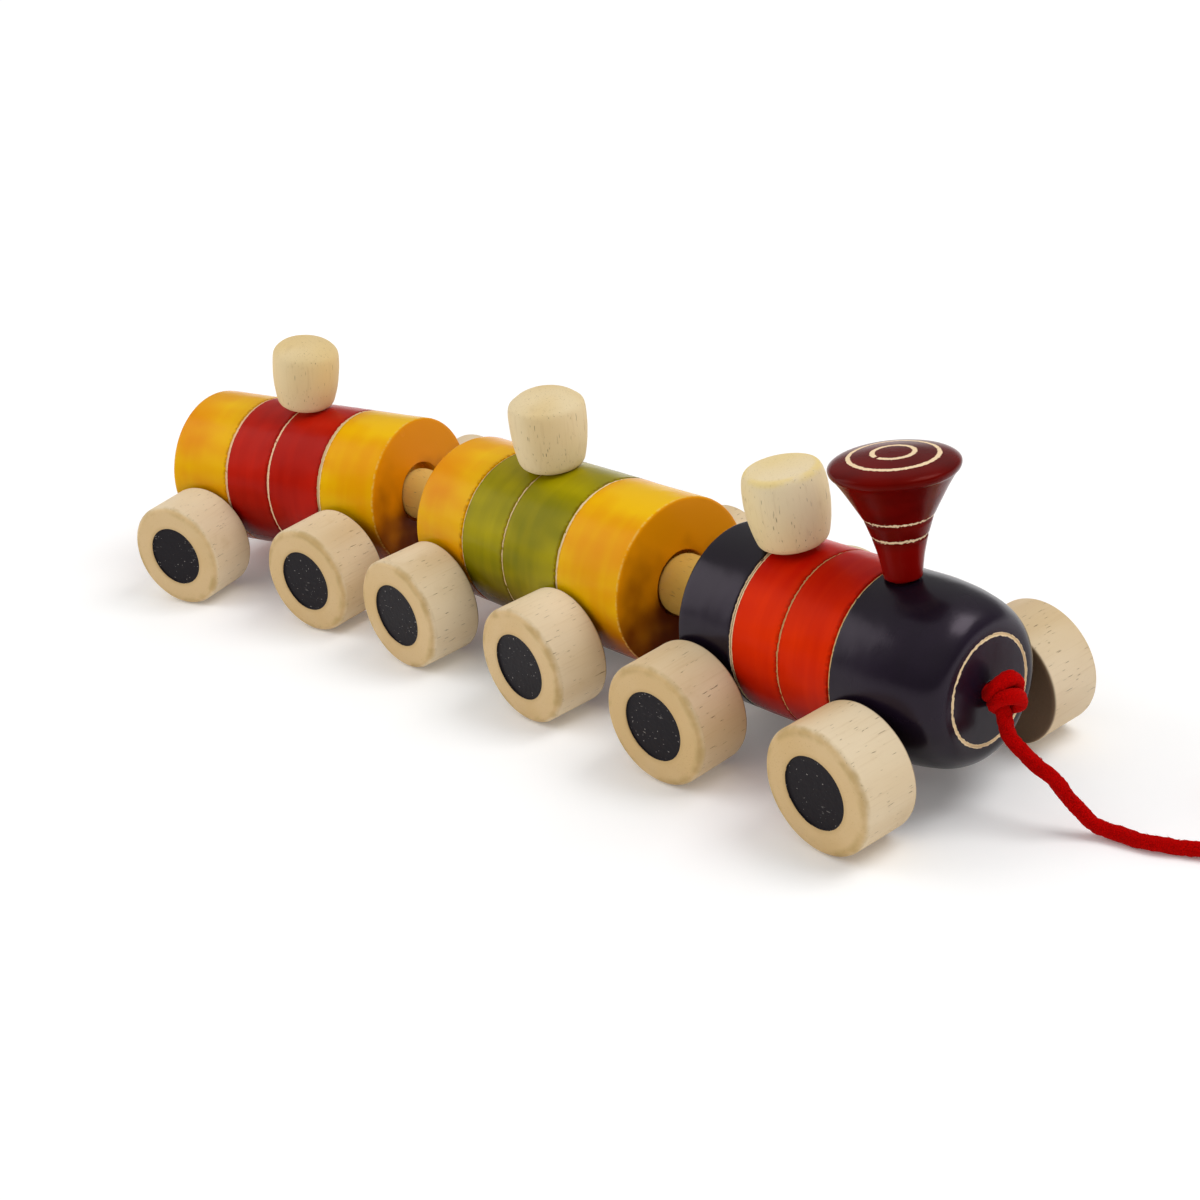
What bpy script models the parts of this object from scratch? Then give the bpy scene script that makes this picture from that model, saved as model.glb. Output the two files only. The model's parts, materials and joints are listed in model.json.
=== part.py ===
"""Turned wooden pull-along train: an engine and two coaches strung on one cord.

Frame: metres, +Z up, the floor at z = 0, the engine's nose towards +X.
Each car has its own frame: its origin on the floor under the centre of its rear face, +X forward.
The train stands in a gentle curve: the coaches are turned a little against the engine.
"""

import math

import bmesh
import bpy
from mathutils import Matrix, Vector

MM = 0.001
GAP = 0.3 * MM

# Wheels and axles
WHEEL_RADIUS = 19.0 * MM
WHEEL_WIDTH = 19.5 * MM
WHEEL_SIDES = 32
WHEEL_OUTER_Y = 47.3 * MM
HUB_RECESS_RADIUS = 10.8 * MM
HUB_RECESS_DEPTH = 0.6 * MM
AXLE_RADIUS = 3.5 * MM
AXLE_SIDES = 24
WHEEL_BORE_RADIUS = 3.8 * MM
WHEEL_BORE_DEPTH = 14.0 * MM
BODY_AXLE_BORE_RADIUS = 3.9 * MM
AXLE_HEIGHT = WHEEL_RADIUS * math.cos(math.pi / WHEEL_SIDES)

# Turned bodies
BODY_AXIS_HEIGHT = 35.0 * MM
BODY_SIDES = 40
BODY_EDGE = 0.8 * MM
GROOVE_WIDTH = 1.1 * MM
GROOVE_DEPTH = 0.45 * MM
CORD_BORE_RADIUS = 2.6 * MM
SOCKET_RADIUS = 10.4 * MM
SOCKET_DEPTH = 5.0 * MM
PIVOT_DEPTH = 4.5 * MM

# Engine: lengths run forward from its rear face; an axle has its place and its skew in degrees
ENGINE_RADIUS = 26.0 * MM
ENGINE_GROOVES = (20.8 * MM, 38.9 * MM, 57.7 * MM)
ENGINE_AXLES = ((7.0 * MM, 2.3), (72.1 * MM, -2.1))
NOSE_START = 66.0 * MM
NOSE_FACE = 91.7 * MM
NOSE_FACE_RADIUS = 16.4 * MM
NOSE_RING_RADIUS = 15.4 * MM
NOSE_RING_WIDTH = 1.0 * MM
NOSE_POWER = 2.35
NOSE_STEPS = 8

# Coaches: radius at the rear and at the front, for each turned block tapers a little
GREEN_RADII = (26.3 * MM, 27.0 * MM)
GREEN_LENGTH = 100.2 * MM
GREEN_GROOVES = (24.4 * MM, 45.3 * MM, 71.5 * MM)
GREEN_AXLES = ((11.0 * MM, 1.2), (75.3 * MM, -0.9))
RED_RADII = (26.7 * MM, 25.9 * MM)
RED_LENGTH = 95.0 * MM
RED_GROOVES = (26.3 * MM, 46.3 * MM, 69.9 * MM)
RED_AXLES = ((12.4 * MM, 3.8), (81.6 * MM, -4.4))

# Places of the cars: rear face centre on the floor, and yaw in degrees
ENGINE_REAR = Vector((84.5 * MM, 8.4 * MM))
GREEN_REAR = ENGINE_REAR + Vector((-126.4 * MM, 2.3 * MM))
GREEN_YAW = -0.4
RED_REAR = ENGINE_REAR + Vector((-251.7 * MM, -19.1 * MM))
RED_YAW = 13.6

# Couplers
FRONT_COUPLER_RADIUS = 9.6 * MM
REAR_COUPLER_RADIUS = 8.8 * MM
COUPLER_TIP_GAP = 0.5 * MM
COUPLER_BORE_RADIUS = 2.6 * MM

# Funnel, pegs and their holes
FUNNEL_X = 64.2 * MM
FUNNEL_LEAN = 4.0
FUNNEL_SPIGOT_RADIUS = 3.6 * MM
FUNNEL_SPIGOT_LENGTH = 9.0 * MM
STEM_RADIUS = 3.0 * MM
STEM_LENGTH = 8.0 * MM
HOLE_DEPTH = 10.0 * MM
PEG_SIDES = 28
PEG_FOOT = 0.72

# Pegs: place along the car, radius, height, roundness of the top, and lean in degrees about X and Y
ENGINE_PEG = (24.7 * MM, 12.0 * MM, 23.4 * MM, 0.0, (3.0, -4.0))
GREEN_PEG = (44.3 * MM, 12.4 * MM, 25.0 * MM, 0.8, (0.0, 2.5))
RED_PEG = (47.3 * MM, 11.7 * MM, 24.0 * MM, 0.6, (-2.0, 11.5))

# Cord
CORD_RADIUS = 2.15 * MM
CORD_SIDES = 12
KNOT_LENGTH = 9.0 * MM
KNOT_RADIUS = 5.6 * MM
CORD_STEP = 5.5 * MM
COIL_TURN_RADIUS = 23.6 * MM
COIL_HALF_WIDTH = 4.6 * MM
COIL_HEIGHT = 8.6 * MM
COIL_CENTRE = Vector((249.0 * MM, 59.0 * MM))
END_KNOT_RADIUS = 4.8 * MM
END_KNOT_BEARING = 34.0

# The free cord's own points in millimetres, from under the nose knot to the side of the coil
CORD_ROUTE = [
    (181.2, 7.2, 28.6),
    (182.6, 7.1, 25.4),
    (184.6, 7.0, 22.6),
    (190.2, 6.9, 19.0),
    (196.6, 7.4, 15.4),
    (201.6, 9.2, 8.6),
    (206.4, 10.6, 4.0),
    (212.4, 12.2, 2.3),
    (222.7, 13.9, 2.15),
    (233.4, 18.4, 2.15),
    (247.0, 24.5, 2.15),
    (261.5, 31.0, 2.15),
]

# Paints and woods: colour, roughness
FINISHES = {
    "natural_wood": ((0.80, 0.66, 0.44), 0.55),
    "engine_lacquer": ((0.02, 0.015, 0.03), 0.2),
    "green_lacquer": ((0.28, 0.30, 0.01), 0.25),
    "red_lacquer": ((0.45, 0.01, 0.01), 0.25),
    "funnel_lacquer": ((0.25, 0.01, 0.01), 0.2),
    "red_cord": ((0.55, 0.0, 0.0), 0.9),
}


def clear_scene():
    for item in list(bpy.data.objects):
        bpy.data.objects.remove(item, do_unlink=True)


def new_collection(name):
    collection = bpy.data.collections.new(name)
    bpy.context.scene.collection.children.link(collection)
    return collection


def new_material(name):
    colour, roughness = FINISHES[name]
    material = bpy.data.materials.new(name)
    material.use_nodes = True
    shader = material.node_tree.nodes["Principled BSDF"]
    shader.inputs["Base Color"].default_value = (*colour, 1.0)
    shader.inputs["Roughness"].default_value = roughness
    shader.inputs["Metallic"].default_value = 0.0
    return material


def new_empty(name, location, yaw=0.0, parent=None):
    """A frame that pieces hang from; yaw is in degrees."""
    empty = bpy.data.objects.new(name, None)
    PARTS.objects.link(empty)
    empty.parent = parent
    empty.location = location
    empty.rotation_euler = (0.0, 0.0, math.radians(yaw))
    return empty


def turned_mesh(name, profile, sides, closed=False):
    """Spin (radius, height) points about Z. The outer side runs from the top down."""
    mesh = bpy.data.meshes.new(name)
    points = [(radius, 0.0, height) for radius, height in profile]
    edges = [(i, i + 1) for i in range(len(points) - 1)]
    if closed:
        edges.append((len(points) - 1, 0))
    mesh.from_pydata(points, edges, [])
    blank = bpy.data.objects.new(name, mesh)
    bpy.context.scene.collection.objects.link(blank)
    screw = blank.modifiers.new("Screw", "SCREW")
    screw.steps = sides
    screw.render_steps = sides
    screw.use_merge_vertices = True
    screw.merge_threshold = 0.01 * MM
    graph = bpy.context.evaluated_depsgraph_get()
    result = bpy.data.meshes.new_from_object(blank.evaluated_get(graph))
    bpy.data.objects.remove(blank)
    result.name = name
    result.shade_smooth()
    result.set_sharp_from_angle(angle=math.radians(35.0))
    return result


def add_piece(name, mesh, finish, parent=None, location=(0.0, 0.0, 0.0), turn=(0.0, 0.0, 0.0)):
    """Put one named sub-part in the model; turn is in degrees."""
    piece = bpy.data.objects.new(name, mesh)
    PARTS.objects.link(piece)
    piece.data.materials.clear()
    piece.data.materials.append(MATERIALS[finish])
    piece.parent = parent
    piece.location = location
    piece.rotation_euler = [math.radians(angle) for angle in turn]
    return piece


def cut_hole(piece, radius, length, parent, location, turn, sides=24):
    """Cut a round hole; the cutter runs from its location along its own +Z."""
    mesh = bpy.data.meshes.new(piece.name + "_cut")
    shape = bmesh.new()
    bmesh.ops.create_cone(
        shape, cap_ends=True, segments=sides, radius1=radius, radius2=radius, depth=length,
        matrix=Matrix.Translation((0.0, 0.0, length / 2.0)),
    )
    shape.to_mesh(mesh)
    shape.free()
    cutter = bpy.data.objects.new(mesh.name, mesh)
    CUTTERS.objects.link(cutter)
    cutter.parent = parent
    cutter.location = location
    cutter.rotation_euler = [math.radians(angle) for angle in turn]
    cutter.hide_render = True
    cutter.display_type = "WIRE"
    cut = piece.modifiers.new("Cut", "BOOLEAN")
    cut.operation = "DIFFERENCE"
    cut.object = cutter


def groove(radius, place):
    """Three profile points of a turned V line, front edge first."""
    half = GROOVE_WIDTH / 2.0
    return [(radius, place + half), (radius - GROOVE_DEPTH, place), (radius, place - half)]


def nose_profile():
    """The bullet nose, from the ring on its flat face back to the straight barrel."""
    length = NOSE_FACE - NOSE_START
    points = []
    for step in range(NOSE_STEPS + 1):
        back = step / NOSE_STEPS
        angle = 0.5 * math.pi * (1.0 - back)
        along = math.sin(angle) ** (2.0 / NOSE_POWER)
        out = math.cos(angle) ** (2.0 / NOSE_POWER)
        radius = NOSE_FACE_RADIUS + (ENGINE_RADIUS - NOSE_FACE_RADIUS) * out
        points.append((radius, NOSE_START + length * along))
    return points


def socket_profile(face, inward):
    """The coupler socket in an end face, from the mouth to the cord bore."""
    bottom = face + inward * SOCKET_DEPTH
    return [(SOCKET_RADIUS, face), (SOCKET_RADIUS, bottom), (CORD_BORE_RADIUS, bottom)]


def rear_profile(radius):
    """Edge, rear face and rear socket, which every car shares."""
    return [
        (radius, BODY_EDGE),
        (radius - BODY_EDGE, 0.0),
        *socket_profile(0.0, 1.0),
    ]


def engine_mesh():
    half = NOSE_RING_WIDTH / 2.0
    profile = [
        (CORD_BORE_RADIUS, NOSE_FACE),
        (NOSE_RING_RADIUS - half, NOSE_FACE),
        (NOSE_RING_RADIUS, NOSE_FACE - GROOVE_DEPTH),
        *nose_profile(),
    ]
    for place in reversed(ENGINE_GROOVES):
        profile += groove(ENGINE_RADIUS, place)
    profile += rear_profile(ENGINE_RADIUS)
    return turned_mesh("engine_body", profile, BODY_SIDES, closed=True)


def coach_radius(radii, length, place):
    """The tapered block's radius at a place along it."""
    return radii[0] + (radii[1] - radii[0]) * place / length


def coach_mesh(name, radii, length, grooves):
    profile = [
        *reversed(socket_profile(length, -1.0)),
        (radii[1] - BODY_EDGE, length),
        (radii[1], length - BODY_EDGE),
    ]
    for place in reversed(grooves):
        profile += groove(coach_radius(radii, length, place), place)
    profile += rear_profile(radii[0])
    return turned_mesh(name, profile, BODY_SIDES, closed=True)


def add_body(name, mesh, finish, car, axles):
    """Lay a turned body along the car's X and drill its axle bores."""
    body = add_piece(name, mesh, finish, car, (0.0, 0.0, BODY_AXIS_HEIGHT), (0.0, 90.0, 0.0))
    for place, skew in axles:
        reach = 1.5 * ENGINE_RADIUS
        side = Vector((-math.sin(math.radians(skew)), math.cos(math.radians(skew)), 0.0))
        start = Vector((place, 0.0, AXLE_HEIGHT)) - side * reach
        cut_hole(body, BODY_AXLE_BORE_RADIUS, 2.0 * reach, car, start, (-90.0, 0.0, skew))
    return body


def wheel_mesh():
    """One wheel: its outer face is at the top, with the painted hub's shallow recess."""
    top = WHEEL_WIDTH
    profile = [
        (0.0, top - HUB_RECESS_DEPTH),
        (HUB_RECESS_RADIUS, top - HUB_RECESS_DEPTH),
        (HUB_RECESS_RADIUS, top),
        (WHEEL_RADIUS - 1.6 * MM, top - 0.1 * MM),
        (WHEEL_RADIUS, top - 1.6 * MM),
        (WHEEL_RADIUS, 1.2 * MM),
        (WHEEL_RADIUS - 1.2 * MM, 0.0),
        (WHEEL_BORE_RADIUS, 0.0),
        (WHEEL_BORE_RADIUS, WHEEL_BORE_DEPTH),
        (0.0, WHEEL_BORE_DEPTH),
    ]
    return turned_mesh("wheel", profile, WHEEL_SIDES)


def axle_mesh():
    half = WHEEL_OUTER_Y - WHEEL_WIDTH + WHEEL_BORE_DEPTH - GAP
    edge = 0.5 * MM
    profile = [
        (0.0, half),
        (AXLE_RADIUS - edge, half),
        (AXLE_RADIUS, half - edge),
        (AXLE_RADIUS, edge - half),
        (AXLE_RADIUS - edge, -half),
        (0.0, -half),
    ]
    return turned_mesh("axle", profile, AXLE_SIDES)


def add_wheelsets(car_name, car, axles):
    """Each axle with its two wheels; a flat of each wheel is down."""
    half_flat = 180.0 / WHEEL_SIDES
    inner = WHEEL_OUTER_Y - WHEEL_WIDTH
    for end, (place, skew) in zip(("rear", "front"), axles):
        name = car_name + "_" + end
        spin = new_empty(name + "_spin", (place, 0.0, AXLE_HEIGHT), skew, car)
        add_piece(name + "_axle", AXLE.copy(), "natural_wood", spin, turn=(90.0, 0.0, 0.0))
        for hand, side in (("right", -1.0), ("left", 1.0)):
            add_piece(
                name + "_" + hand + "_wheel", WHEEL.copy(), "natural_wood", spin,
                (0.0, side * inner, 0.0), (-90.0 * side, half_flat, 0.0),
            )


def add_coupler(name, radius, rear_pivot, front_pivot):
    """A bored dowel with domed tips, from the rear car's socket to the front car's."""
    span = front_pivot - rear_pivot
    start = COUPLER_TIP_GAP
    end = span.length - COUPLER_TIP_GAP
    dome = [(COUPLER_BORE_RADIUS + 0.2 * MM, 0.0), (0.68 * radius, 0.9 * MM), (0.88 * radius, 2.3 * MM),
            (radius, 4.6 * MM)]
    profile = [(radius, end - depth) for radius, depth in dome]
    profile += [(radius, start + depth) for radius, depth in reversed(dome)]
    profile += [(COUPLER_BORE_RADIUS, start + 0.4 * MM), (COUPLER_BORE_RADIUS, end - 0.4 * MM)]
    yaw = math.degrees(math.atan2(span.y, span.x))
    swing = new_empty(name + "_swing", (*rear_pivot, BODY_AXIS_HEIGHT), yaw)
    add_piece(name + "_dowel", turned_mesh(name, profile, 28, closed=True), "natural_wood", swing,
              turn=(0.0, 90.0, 0.0))
    add_cord_stretch("cord_in_" + name, swing, start, end, 0.0)


def add_cord_stretch(name, parent, start, end, height):
    """A straight stretch of cord along its parent's X."""
    profile = [(0.0, end), (CORD_RADIUS, end), (CORD_RADIUS, start), (0.0, start)]
    add_piece(name, turned_mesh(name, profile, CORD_SIDES), "red_cord", parent, (0.0, 0.0, height),
              (0.0, 90.0, 0.0))


def knot_mesh(name, length, radius):
    """A plain rounded lump, turned about Z."""
    steps = 8
    profile = []
    for step in range(steps + 1):
        angle = math.pi * step / steps
        profile.append((radius * math.sin(angle), 0.5 * length * math.cos(angle)))
    profile[0] = (0.0, 0.5 * length)
    profile[-1] = (0.0, -0.5 * length)
    return turned_mesh(name, profile, 16)


def funnel_mesh():
    """Spigot, narrow foot, flared cone and domed top with a rounded rim."""
    profile = [(radius * MM, height * MM) for radius, height in (
        (0.0, 36.4), (6.4, 36.1), (12.6, 35.2), (16.4, 34.2), (17.7, 33.0), (17.4, 31.6),
        (16.4, 30.4), (12.7, 23.8), (9.5, 18.0), (7.7, 12.8), (6.4, 8.0), (5.3, GAP / MM),
    )]
    profile += [
        (FUNNEL_SPIGOT_RADIUS, GAP),
        (FUNNEL_SPIGOT_RADIUS, -FUNNEL_SPIGOT_LENGTH),
        (0.0, -FUNNEL_SPIGOT_LENGTH),
    ]
    return turned_mesh("funnel", profile, 36)


def add_funnel(car, body):
    top = (FUNNEL_X, 0.0, BODY_AXIS_HEIGHT + ENGINE_RADIUS)
    lean = new_empty("funnel_seat", top, 0.0, car)
    turn = (-FUNNEL_LEAN * 0.6, -FUNNEL_LEAN * 0.75, 0.0)
    add_piece("funnel", funnel_mesh(), "funnel_lacquer", lean, turn=turn)
    drill_down(body, lean, FUNNEL_SPIGOT_RADIUS + GAP, turn)


def drill_down(body, seat, radius, turn):
    """A blind hole under a seat, leaning with the piece that it holds."""
    lean = Matrix.Rotation(math.radians(turn[1]), 3, "Y") @ Matrix.Rotation(math.radians(turn[0]), 3, "X")
    bottom = lean @ Vector((0.0, 0.0, -HOLE_DEPTH))
    cut_hole(body, radius, 2.0 * HOLE_DEPTH, seat, bottom, turn)


def peg_mesh(name, radius, height, top_round, lift):
    """A barrel knob with a flat foot, a rounded top and a stem."""
    crown = height + lift
    profile = [
        (0.0, crown),
        (radius * (0.62 - 0.25 * top_round), crown - 0.3 * MM),
        (radius * (0.88 - 0.16 * top_round), crown - 0.08 * height * (1.0 + top_round)),
        (radius * 0.97, crown - 0.24 * height),
        (radius, crown - 0.42 * height),
        (radius * 0.95, crown - 0.68 * height),
        (radius * 0.84, lift + 0.10 * height),
        (PEG_FOOT * radius, lift),
        (STEM_RADIUS, lift),
        (STEM_RADIUS, -STEM_LENGTH),
        (0.0, -STEM_LENGTH),
    ]
    return turned_mesh(name, profile, PEG_SIDES)


def add_peg(name, car, body, top, peg):
    """Stand a peg on the body, whose top there is at that height."""
    place, radius, height, top_round, lean = peg
    lift = GAP + abs(math.sin(math.radians(lean[1]))) * PEG_FOOT * radius
    seat = new_empty(name + "_seat", (place, 0.0, top), 0.0, car)
    turn = (lean[0], lean[1], 0.0)
    add_piece(name, peg_mesh(name, radius, height, top_round, lift), "natural_wood", seat, turn=turn)
    drill_down(body, seat, STEM_RADIUS + GAP, turn)


def smooth_points(route, step):
    """Points at an even step along a Catmull-Rom curve through the route."""
    points = [Vector(point) * MM for point in route]
    knots = [points[0] * 2.0 - points[1], *points, points[-1] * 2.0 - points[-2]]
    fine = []
    for i in range(1, len(knots) - 2):
        for part in range(20):
            t = part / 20.0
            a, b, c, d = knots[i - 1:i + 3]
            fine.append(0.5 * (2.0 * b + (c - a) * t + (2.0 * a - 5.0 * b + 4.0 * c - d) * t * t
                               + (3.0 * b - a - 3.0 * c + d) * t * t * t))
    fine.append(points[-1])
    total = sum((fine[i + 1] - fine[i]).length for i in range(len(fine) - 1))
    count = round(total / step)
    even = [fine[0]]
    run = 0.0
    for i in range(len(fine) - 1):
        run += (fine[i + 1] - fine[i]).length
        if run >= total * len(even) / count - 1e-9:
            even.append(fine[i + 1])
    return even


def add_free_cord():
    """The free cord's tube, from the nose knot to the coil."""
    curve = bpy.data.curves.new("pull_cord", "CURVE")
    curve.dimensions = "3D"
    curve.bevel_depth = CORD_RADIUS
    curve.bevel_resolution = 2
    curve.use_fill_caps = True
    points = smooth_points(CORD_ROUTE, CORD_STEP)
    spline = curve.splines.new("POLY")
    spline.points.add(len(points) - 1)
    for slot, point in zip(spline.points, points):
        slot.co = (*point, 1.0)
    cord = bpy.data.objects.new("pull_cord", curve)
    PARTS.objects.link(cord)
    curve.materials.append(MATERIALS["red_cord"])


def add_coil():
    """The stored length: a turned ring that lies on the floor, and inside it the cord's end knot."""
    inner = COIL_TURN_RADIUS - COIL_HALF_WIDTH
    outer = COIL_TURN_RADIUS + COIL_HALF_WIDTH
    edge = 1.6 * MM
    profile = [
        (inner + edge, COIL_HEIGHT),
        (outer - edge, COIL_HEIGHT),
        (outer, COIL_HEIGHT - edge),
        (outer, edge),
        (outer - edge, 0.0),
        (inner + edge, 0.0),
        (inner, edge),
        (inner, COIL_HEIGHT - edge),
    ]
    add_piece("pull_cord_coil", turned_mesh("pull_cord_coil", profile, 40, closed=True), "red_cord",
              location=(*COIL_CENTRE, 0.0))
    angle = math.radians(END_KNOT_BEARING)
    place = COIL_CENTRE + Vector((math.cos(angle), math.sin(angle))) * (inner - END_KNOT_RADIUS - GAP)
    add_piece("end_knot", knot_mesh("end_knot", KNOT_LENGTH, END_KNOT_RADIUS), "red_cord",
              location=(*place, END_KNOT_RADIUS), turn=(0.0, 90.0, END_KNOT_BEARING + 90.0))


def pivot(rear, yaw, along):
    """A point on a car's axis, seen from above."""
    angle = math.radians(yaw)
    return rear + Vector((math.cos(angle), math.sin(angle))) * along


def build_engine():
    car = new_empty("engine", (*ENGINE_REAR, 0.0))
    body = add_body("engine_body", engine_mesh(), "engine_lacquer", car, ENGINE_AXLES)
    add_wheelsets("engine", car, ENGINE_AXLES)
    add_funnel(car, body)
    add_peg("engine_peg", car, body, BODY_AXIS_HEIGHT + ENGINE_RADIUS, ENGINE_PEG)
    add_cord_stretch("cord_in_engine", car, SOCKET_DEPTH, NOSE_FACE, BODY_AXIS_HEIGHT)
    add_piece("nose_knot", knot_mesh("nose_knot", KNOT_LENGTH, KNOT_RADIUS), "red_cord", car,
              (NOSE_FACE + GAP + KNOT_LENGTH / 2.0, 0.0, BODY_AXIS_HEIGHT), (0.0, 90.0, 0.0))


def build_coach(name, rear, yaw, radii, length, grooves, axles):
    car = new_empty(name, (*rear, 0.0), yaw)
    mesh = coach_mesh(name + "_body", radii, length, grooves)
    body = add_body(name + "_body", mesh, name.split("_")[0] + "_lacquer", car, axles)
    add_wheelsets(name, car, axles)
    add_cord_stretch("cord_in_" + name, car, SOCKET_DEPTH, length - SOCKET_DEPTH, BODY_AXIS_HEIGHT)
    return car, body


def build_train():
    build_engine()
    green, green_body = build_coach("green_coach", GREEN_REAR, GREEN_YAW, GREEN_RADII, GREEN_LENGTH,
                                    GREEN_GROOVES, GREEN_AXLES)
    top = BODY_AXIS_HEIGHT + coach_radius(GREEN_RADII, GREEN_LENGTH, GREEN_PEG[0])
    add_peg("green_coach_peg", green, green_body, top, GREEN_PEG)
    red, red_body = build_coach("red_coach", RED_REAR, RED_YAW, RED_RADII, RED_LENGTH, RED_GROOVES,
                                RED_AXLES)
    top = BODY_AXIS_HEIGHT + coach_radius(RED_RADII, RED_LENGTH, RED_PEG[0])
    add_peg("red_coach_peg", red, red_body, top, RED_PEG)
    add_piece("tail_knot", knot_mesh("tail_knot", KNOT_LENGTH, KNOT_RADIUS), "red_cord", red,
              (SOCKET_DEPTH - GAP - KNOT_LENGTH / 2.0, 0.0, BODY_AXIS_HEIGHT), (0.0, 90.0, 0.0))
    add_coupler("front_coupler", FRONT_COUPLER_RADIUS, pivot(GREEN_REAR, GREEN_YAW, GREEN_LENGTH - PIVOT_DEPTH),
                pivot(ENGINE_REAR, 0.0, PIVOT_DEPTH))
    add_coupler("rear_coupler", REAR_COUPLER_RADIUS, pivot(RED_REAR, RED_YAW, RED_LENGTH - PIVOT_DEPTH),
                pivot(GREEN_REAR, GREEN_YAW, PIVOT_DEPTH))
    add_free_cord()
    add_coil()


clear_scene()
PARTS = new_collection("pull_along_train")
CUTTERS = new_collection("cutters")
MATERIALS = {name: new_material(name) for name in FINISHES}
WHEEL = wheel_mesh()
AXLE = axle_mesh()
build_train()
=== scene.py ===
"""Looks of the turned wooden pull-along train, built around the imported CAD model.

Metres, +Z up, the engine's nose towards +X. Each car has its own frame, as in the CAD source:
its origin is on the floor under the centre of its rear face, with +X forward.
"""

import json
import math
import random

import bmesh
import bpy
from mathutils import Matrix, Vector, noise


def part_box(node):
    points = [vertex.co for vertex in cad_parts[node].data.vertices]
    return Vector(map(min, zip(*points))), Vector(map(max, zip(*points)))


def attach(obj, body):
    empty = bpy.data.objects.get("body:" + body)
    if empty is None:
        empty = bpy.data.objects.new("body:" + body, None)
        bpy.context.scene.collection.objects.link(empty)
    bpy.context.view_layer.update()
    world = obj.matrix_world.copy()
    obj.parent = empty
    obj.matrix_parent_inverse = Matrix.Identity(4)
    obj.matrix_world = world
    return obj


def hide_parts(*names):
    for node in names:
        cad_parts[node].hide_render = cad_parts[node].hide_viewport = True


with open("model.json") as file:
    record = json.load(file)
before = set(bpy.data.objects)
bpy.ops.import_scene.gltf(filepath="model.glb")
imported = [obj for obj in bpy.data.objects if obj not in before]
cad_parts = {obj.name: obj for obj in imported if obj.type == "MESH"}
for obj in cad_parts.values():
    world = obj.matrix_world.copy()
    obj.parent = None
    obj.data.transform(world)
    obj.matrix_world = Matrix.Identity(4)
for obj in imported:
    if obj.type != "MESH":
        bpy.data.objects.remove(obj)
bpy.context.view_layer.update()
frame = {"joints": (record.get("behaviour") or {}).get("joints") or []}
JOINTS = {joint["name"]: joint for joint in frame["joints"]}

MM = 0.001
TINY = 1e-7
FULL_TURN = 2.0 * math.pi

# Camera
CAMERA_PLACE = (0.4874, -0.3698, 0.3013)
CAMERA_TURN = (64.692, 7.087, 47.725)
CAMERA_LENS = 62.26
CAMERA_SENSOR = 36.0
CAMERA_RANGE = (0.01, 100.0)

# Studio: the sky's levels are (height, grey level), a softbox is (name, place, size, power)
SKY_LEVELS = ((0.0, 1.0), (0.07, 0.95), (0.13, 0.16), (1.0, 0.80))
SOFTBOXES = (
    ("left_softbox", (-0.86, -0.62, 0.62), (0.75, 0.95), 4.3),
    ("right_softbox", (0.66, 0.46, 1.20), (0.72, 0.72), 8.4),
)
SOFTBOX_TARGET = (0.0, 0.0, 0.04)
FLOOR_RADIUS = 60.0
FLOOR_SEGMENTS = 96
FLOOR_GLOW_NEAR = 0.09
FLOOR_GLOW_FAR = 0.45
FLOOR_GLOW_RISE = (0.15, 0.90)

# Wheels and axles
WHEEL_RADIUS = 18.88 * MM
WHEEL_WIDTH = 19.5 * MM
WHEEL_OUTER_Y = 47.3 * MM
WHEEL_CHAMFER = (1.4 * MM, 1.3 * MM)
WHEEL_BACK_ROUND = 1.3 * MM
WHEEL_BORE_DEPTH = 14.0 * MM
WHEEL_SIDES = 128
HUB_RADIUS = 10.8 * MM
HUB_SLOPE = 0.25 * MM
HUB_DEPTH = 0.6 * MM
AXLE_RADIUS = 3.5 * MM
AXLE_GAP = 0.3 * MM
AXLE_REACH = 41.0 * MM
AXLE_SIDES = 40

# Turned bodies
AXIS_HEIGHT = 35.0 * MM
BODY_SIDES = 176
BODY_EDGE = 0.9 * MM
GROOVE_DEPTH = 0.45 * MM
GROOVE_ROUND = 0.12 * MM
CORD_BORE = 2.6 * MM
SOCKET_RADIUS = 10.4 * MM
SOCKET_DEPTH = 5.0 * MM
FACET = 1.3 * MM
SMOOTH_ANGLE = 48.0

ENGINE_RADIUS = 26.0 * MM
NOSE_START = 66.0 * MM
NOSE_FACE = 91.7 * MM
NOSE_FACE_RADIUS = 16.4 * MM
NOSE_RING_RADIUS = 15.4 * MM
NOSE_RING_HALF = 0.5 * MM
NOSE_POWER = 2.35
NOSE_STEPS = 26
GREEN_LENGTH = 100.2 * MM
GREEN_RADII = (26.3 * MM, 27.0 * MM)
RED_LENGTH = 95.0 * MM
RED_RADII = (26.7 * MM, 25.9 * MM)

# Axles, rear then front: (place along the car, skew in degrees)
ENGINE_AXLES = ((7.0 * MM, 2.3), (72.1 * MM, -2.1))
GREEN_AXLES = ((11.0 * MM, 1.2), (75.3 * MM, -0.9))
RED_AXLES = ((12.4 * MM, 3.8), (81.6 * MM, -4.4))

# Pegs: place along the car, radius, height, how domed the top is, lean about X and Y in degrees
ENGINE_PEG = (24.7 * MM, 12.2 * MM, 23.4 * MM, 0.0, (3.0, -4.0))
GREEN_PEG = (44.3 * MM, 12.4 * MM, 25.0 * MM, 0.8, (0.0, 2.5))
RED_PEG = (47.3 * MM, 11.7 * MM, 24.0 * MM, 0.6, (-2.0, 11.5))
PEG_FOOT = 0.72
PEG_GAP = 0.3 * MM
PEG_TENON_RADIUS = 3.0 * MM
PEG_TENON_DEPTH = 8.0 * MM
PEG_SIDES = 96
CROWN_HEIGHT = 24.0 * MM

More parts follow.
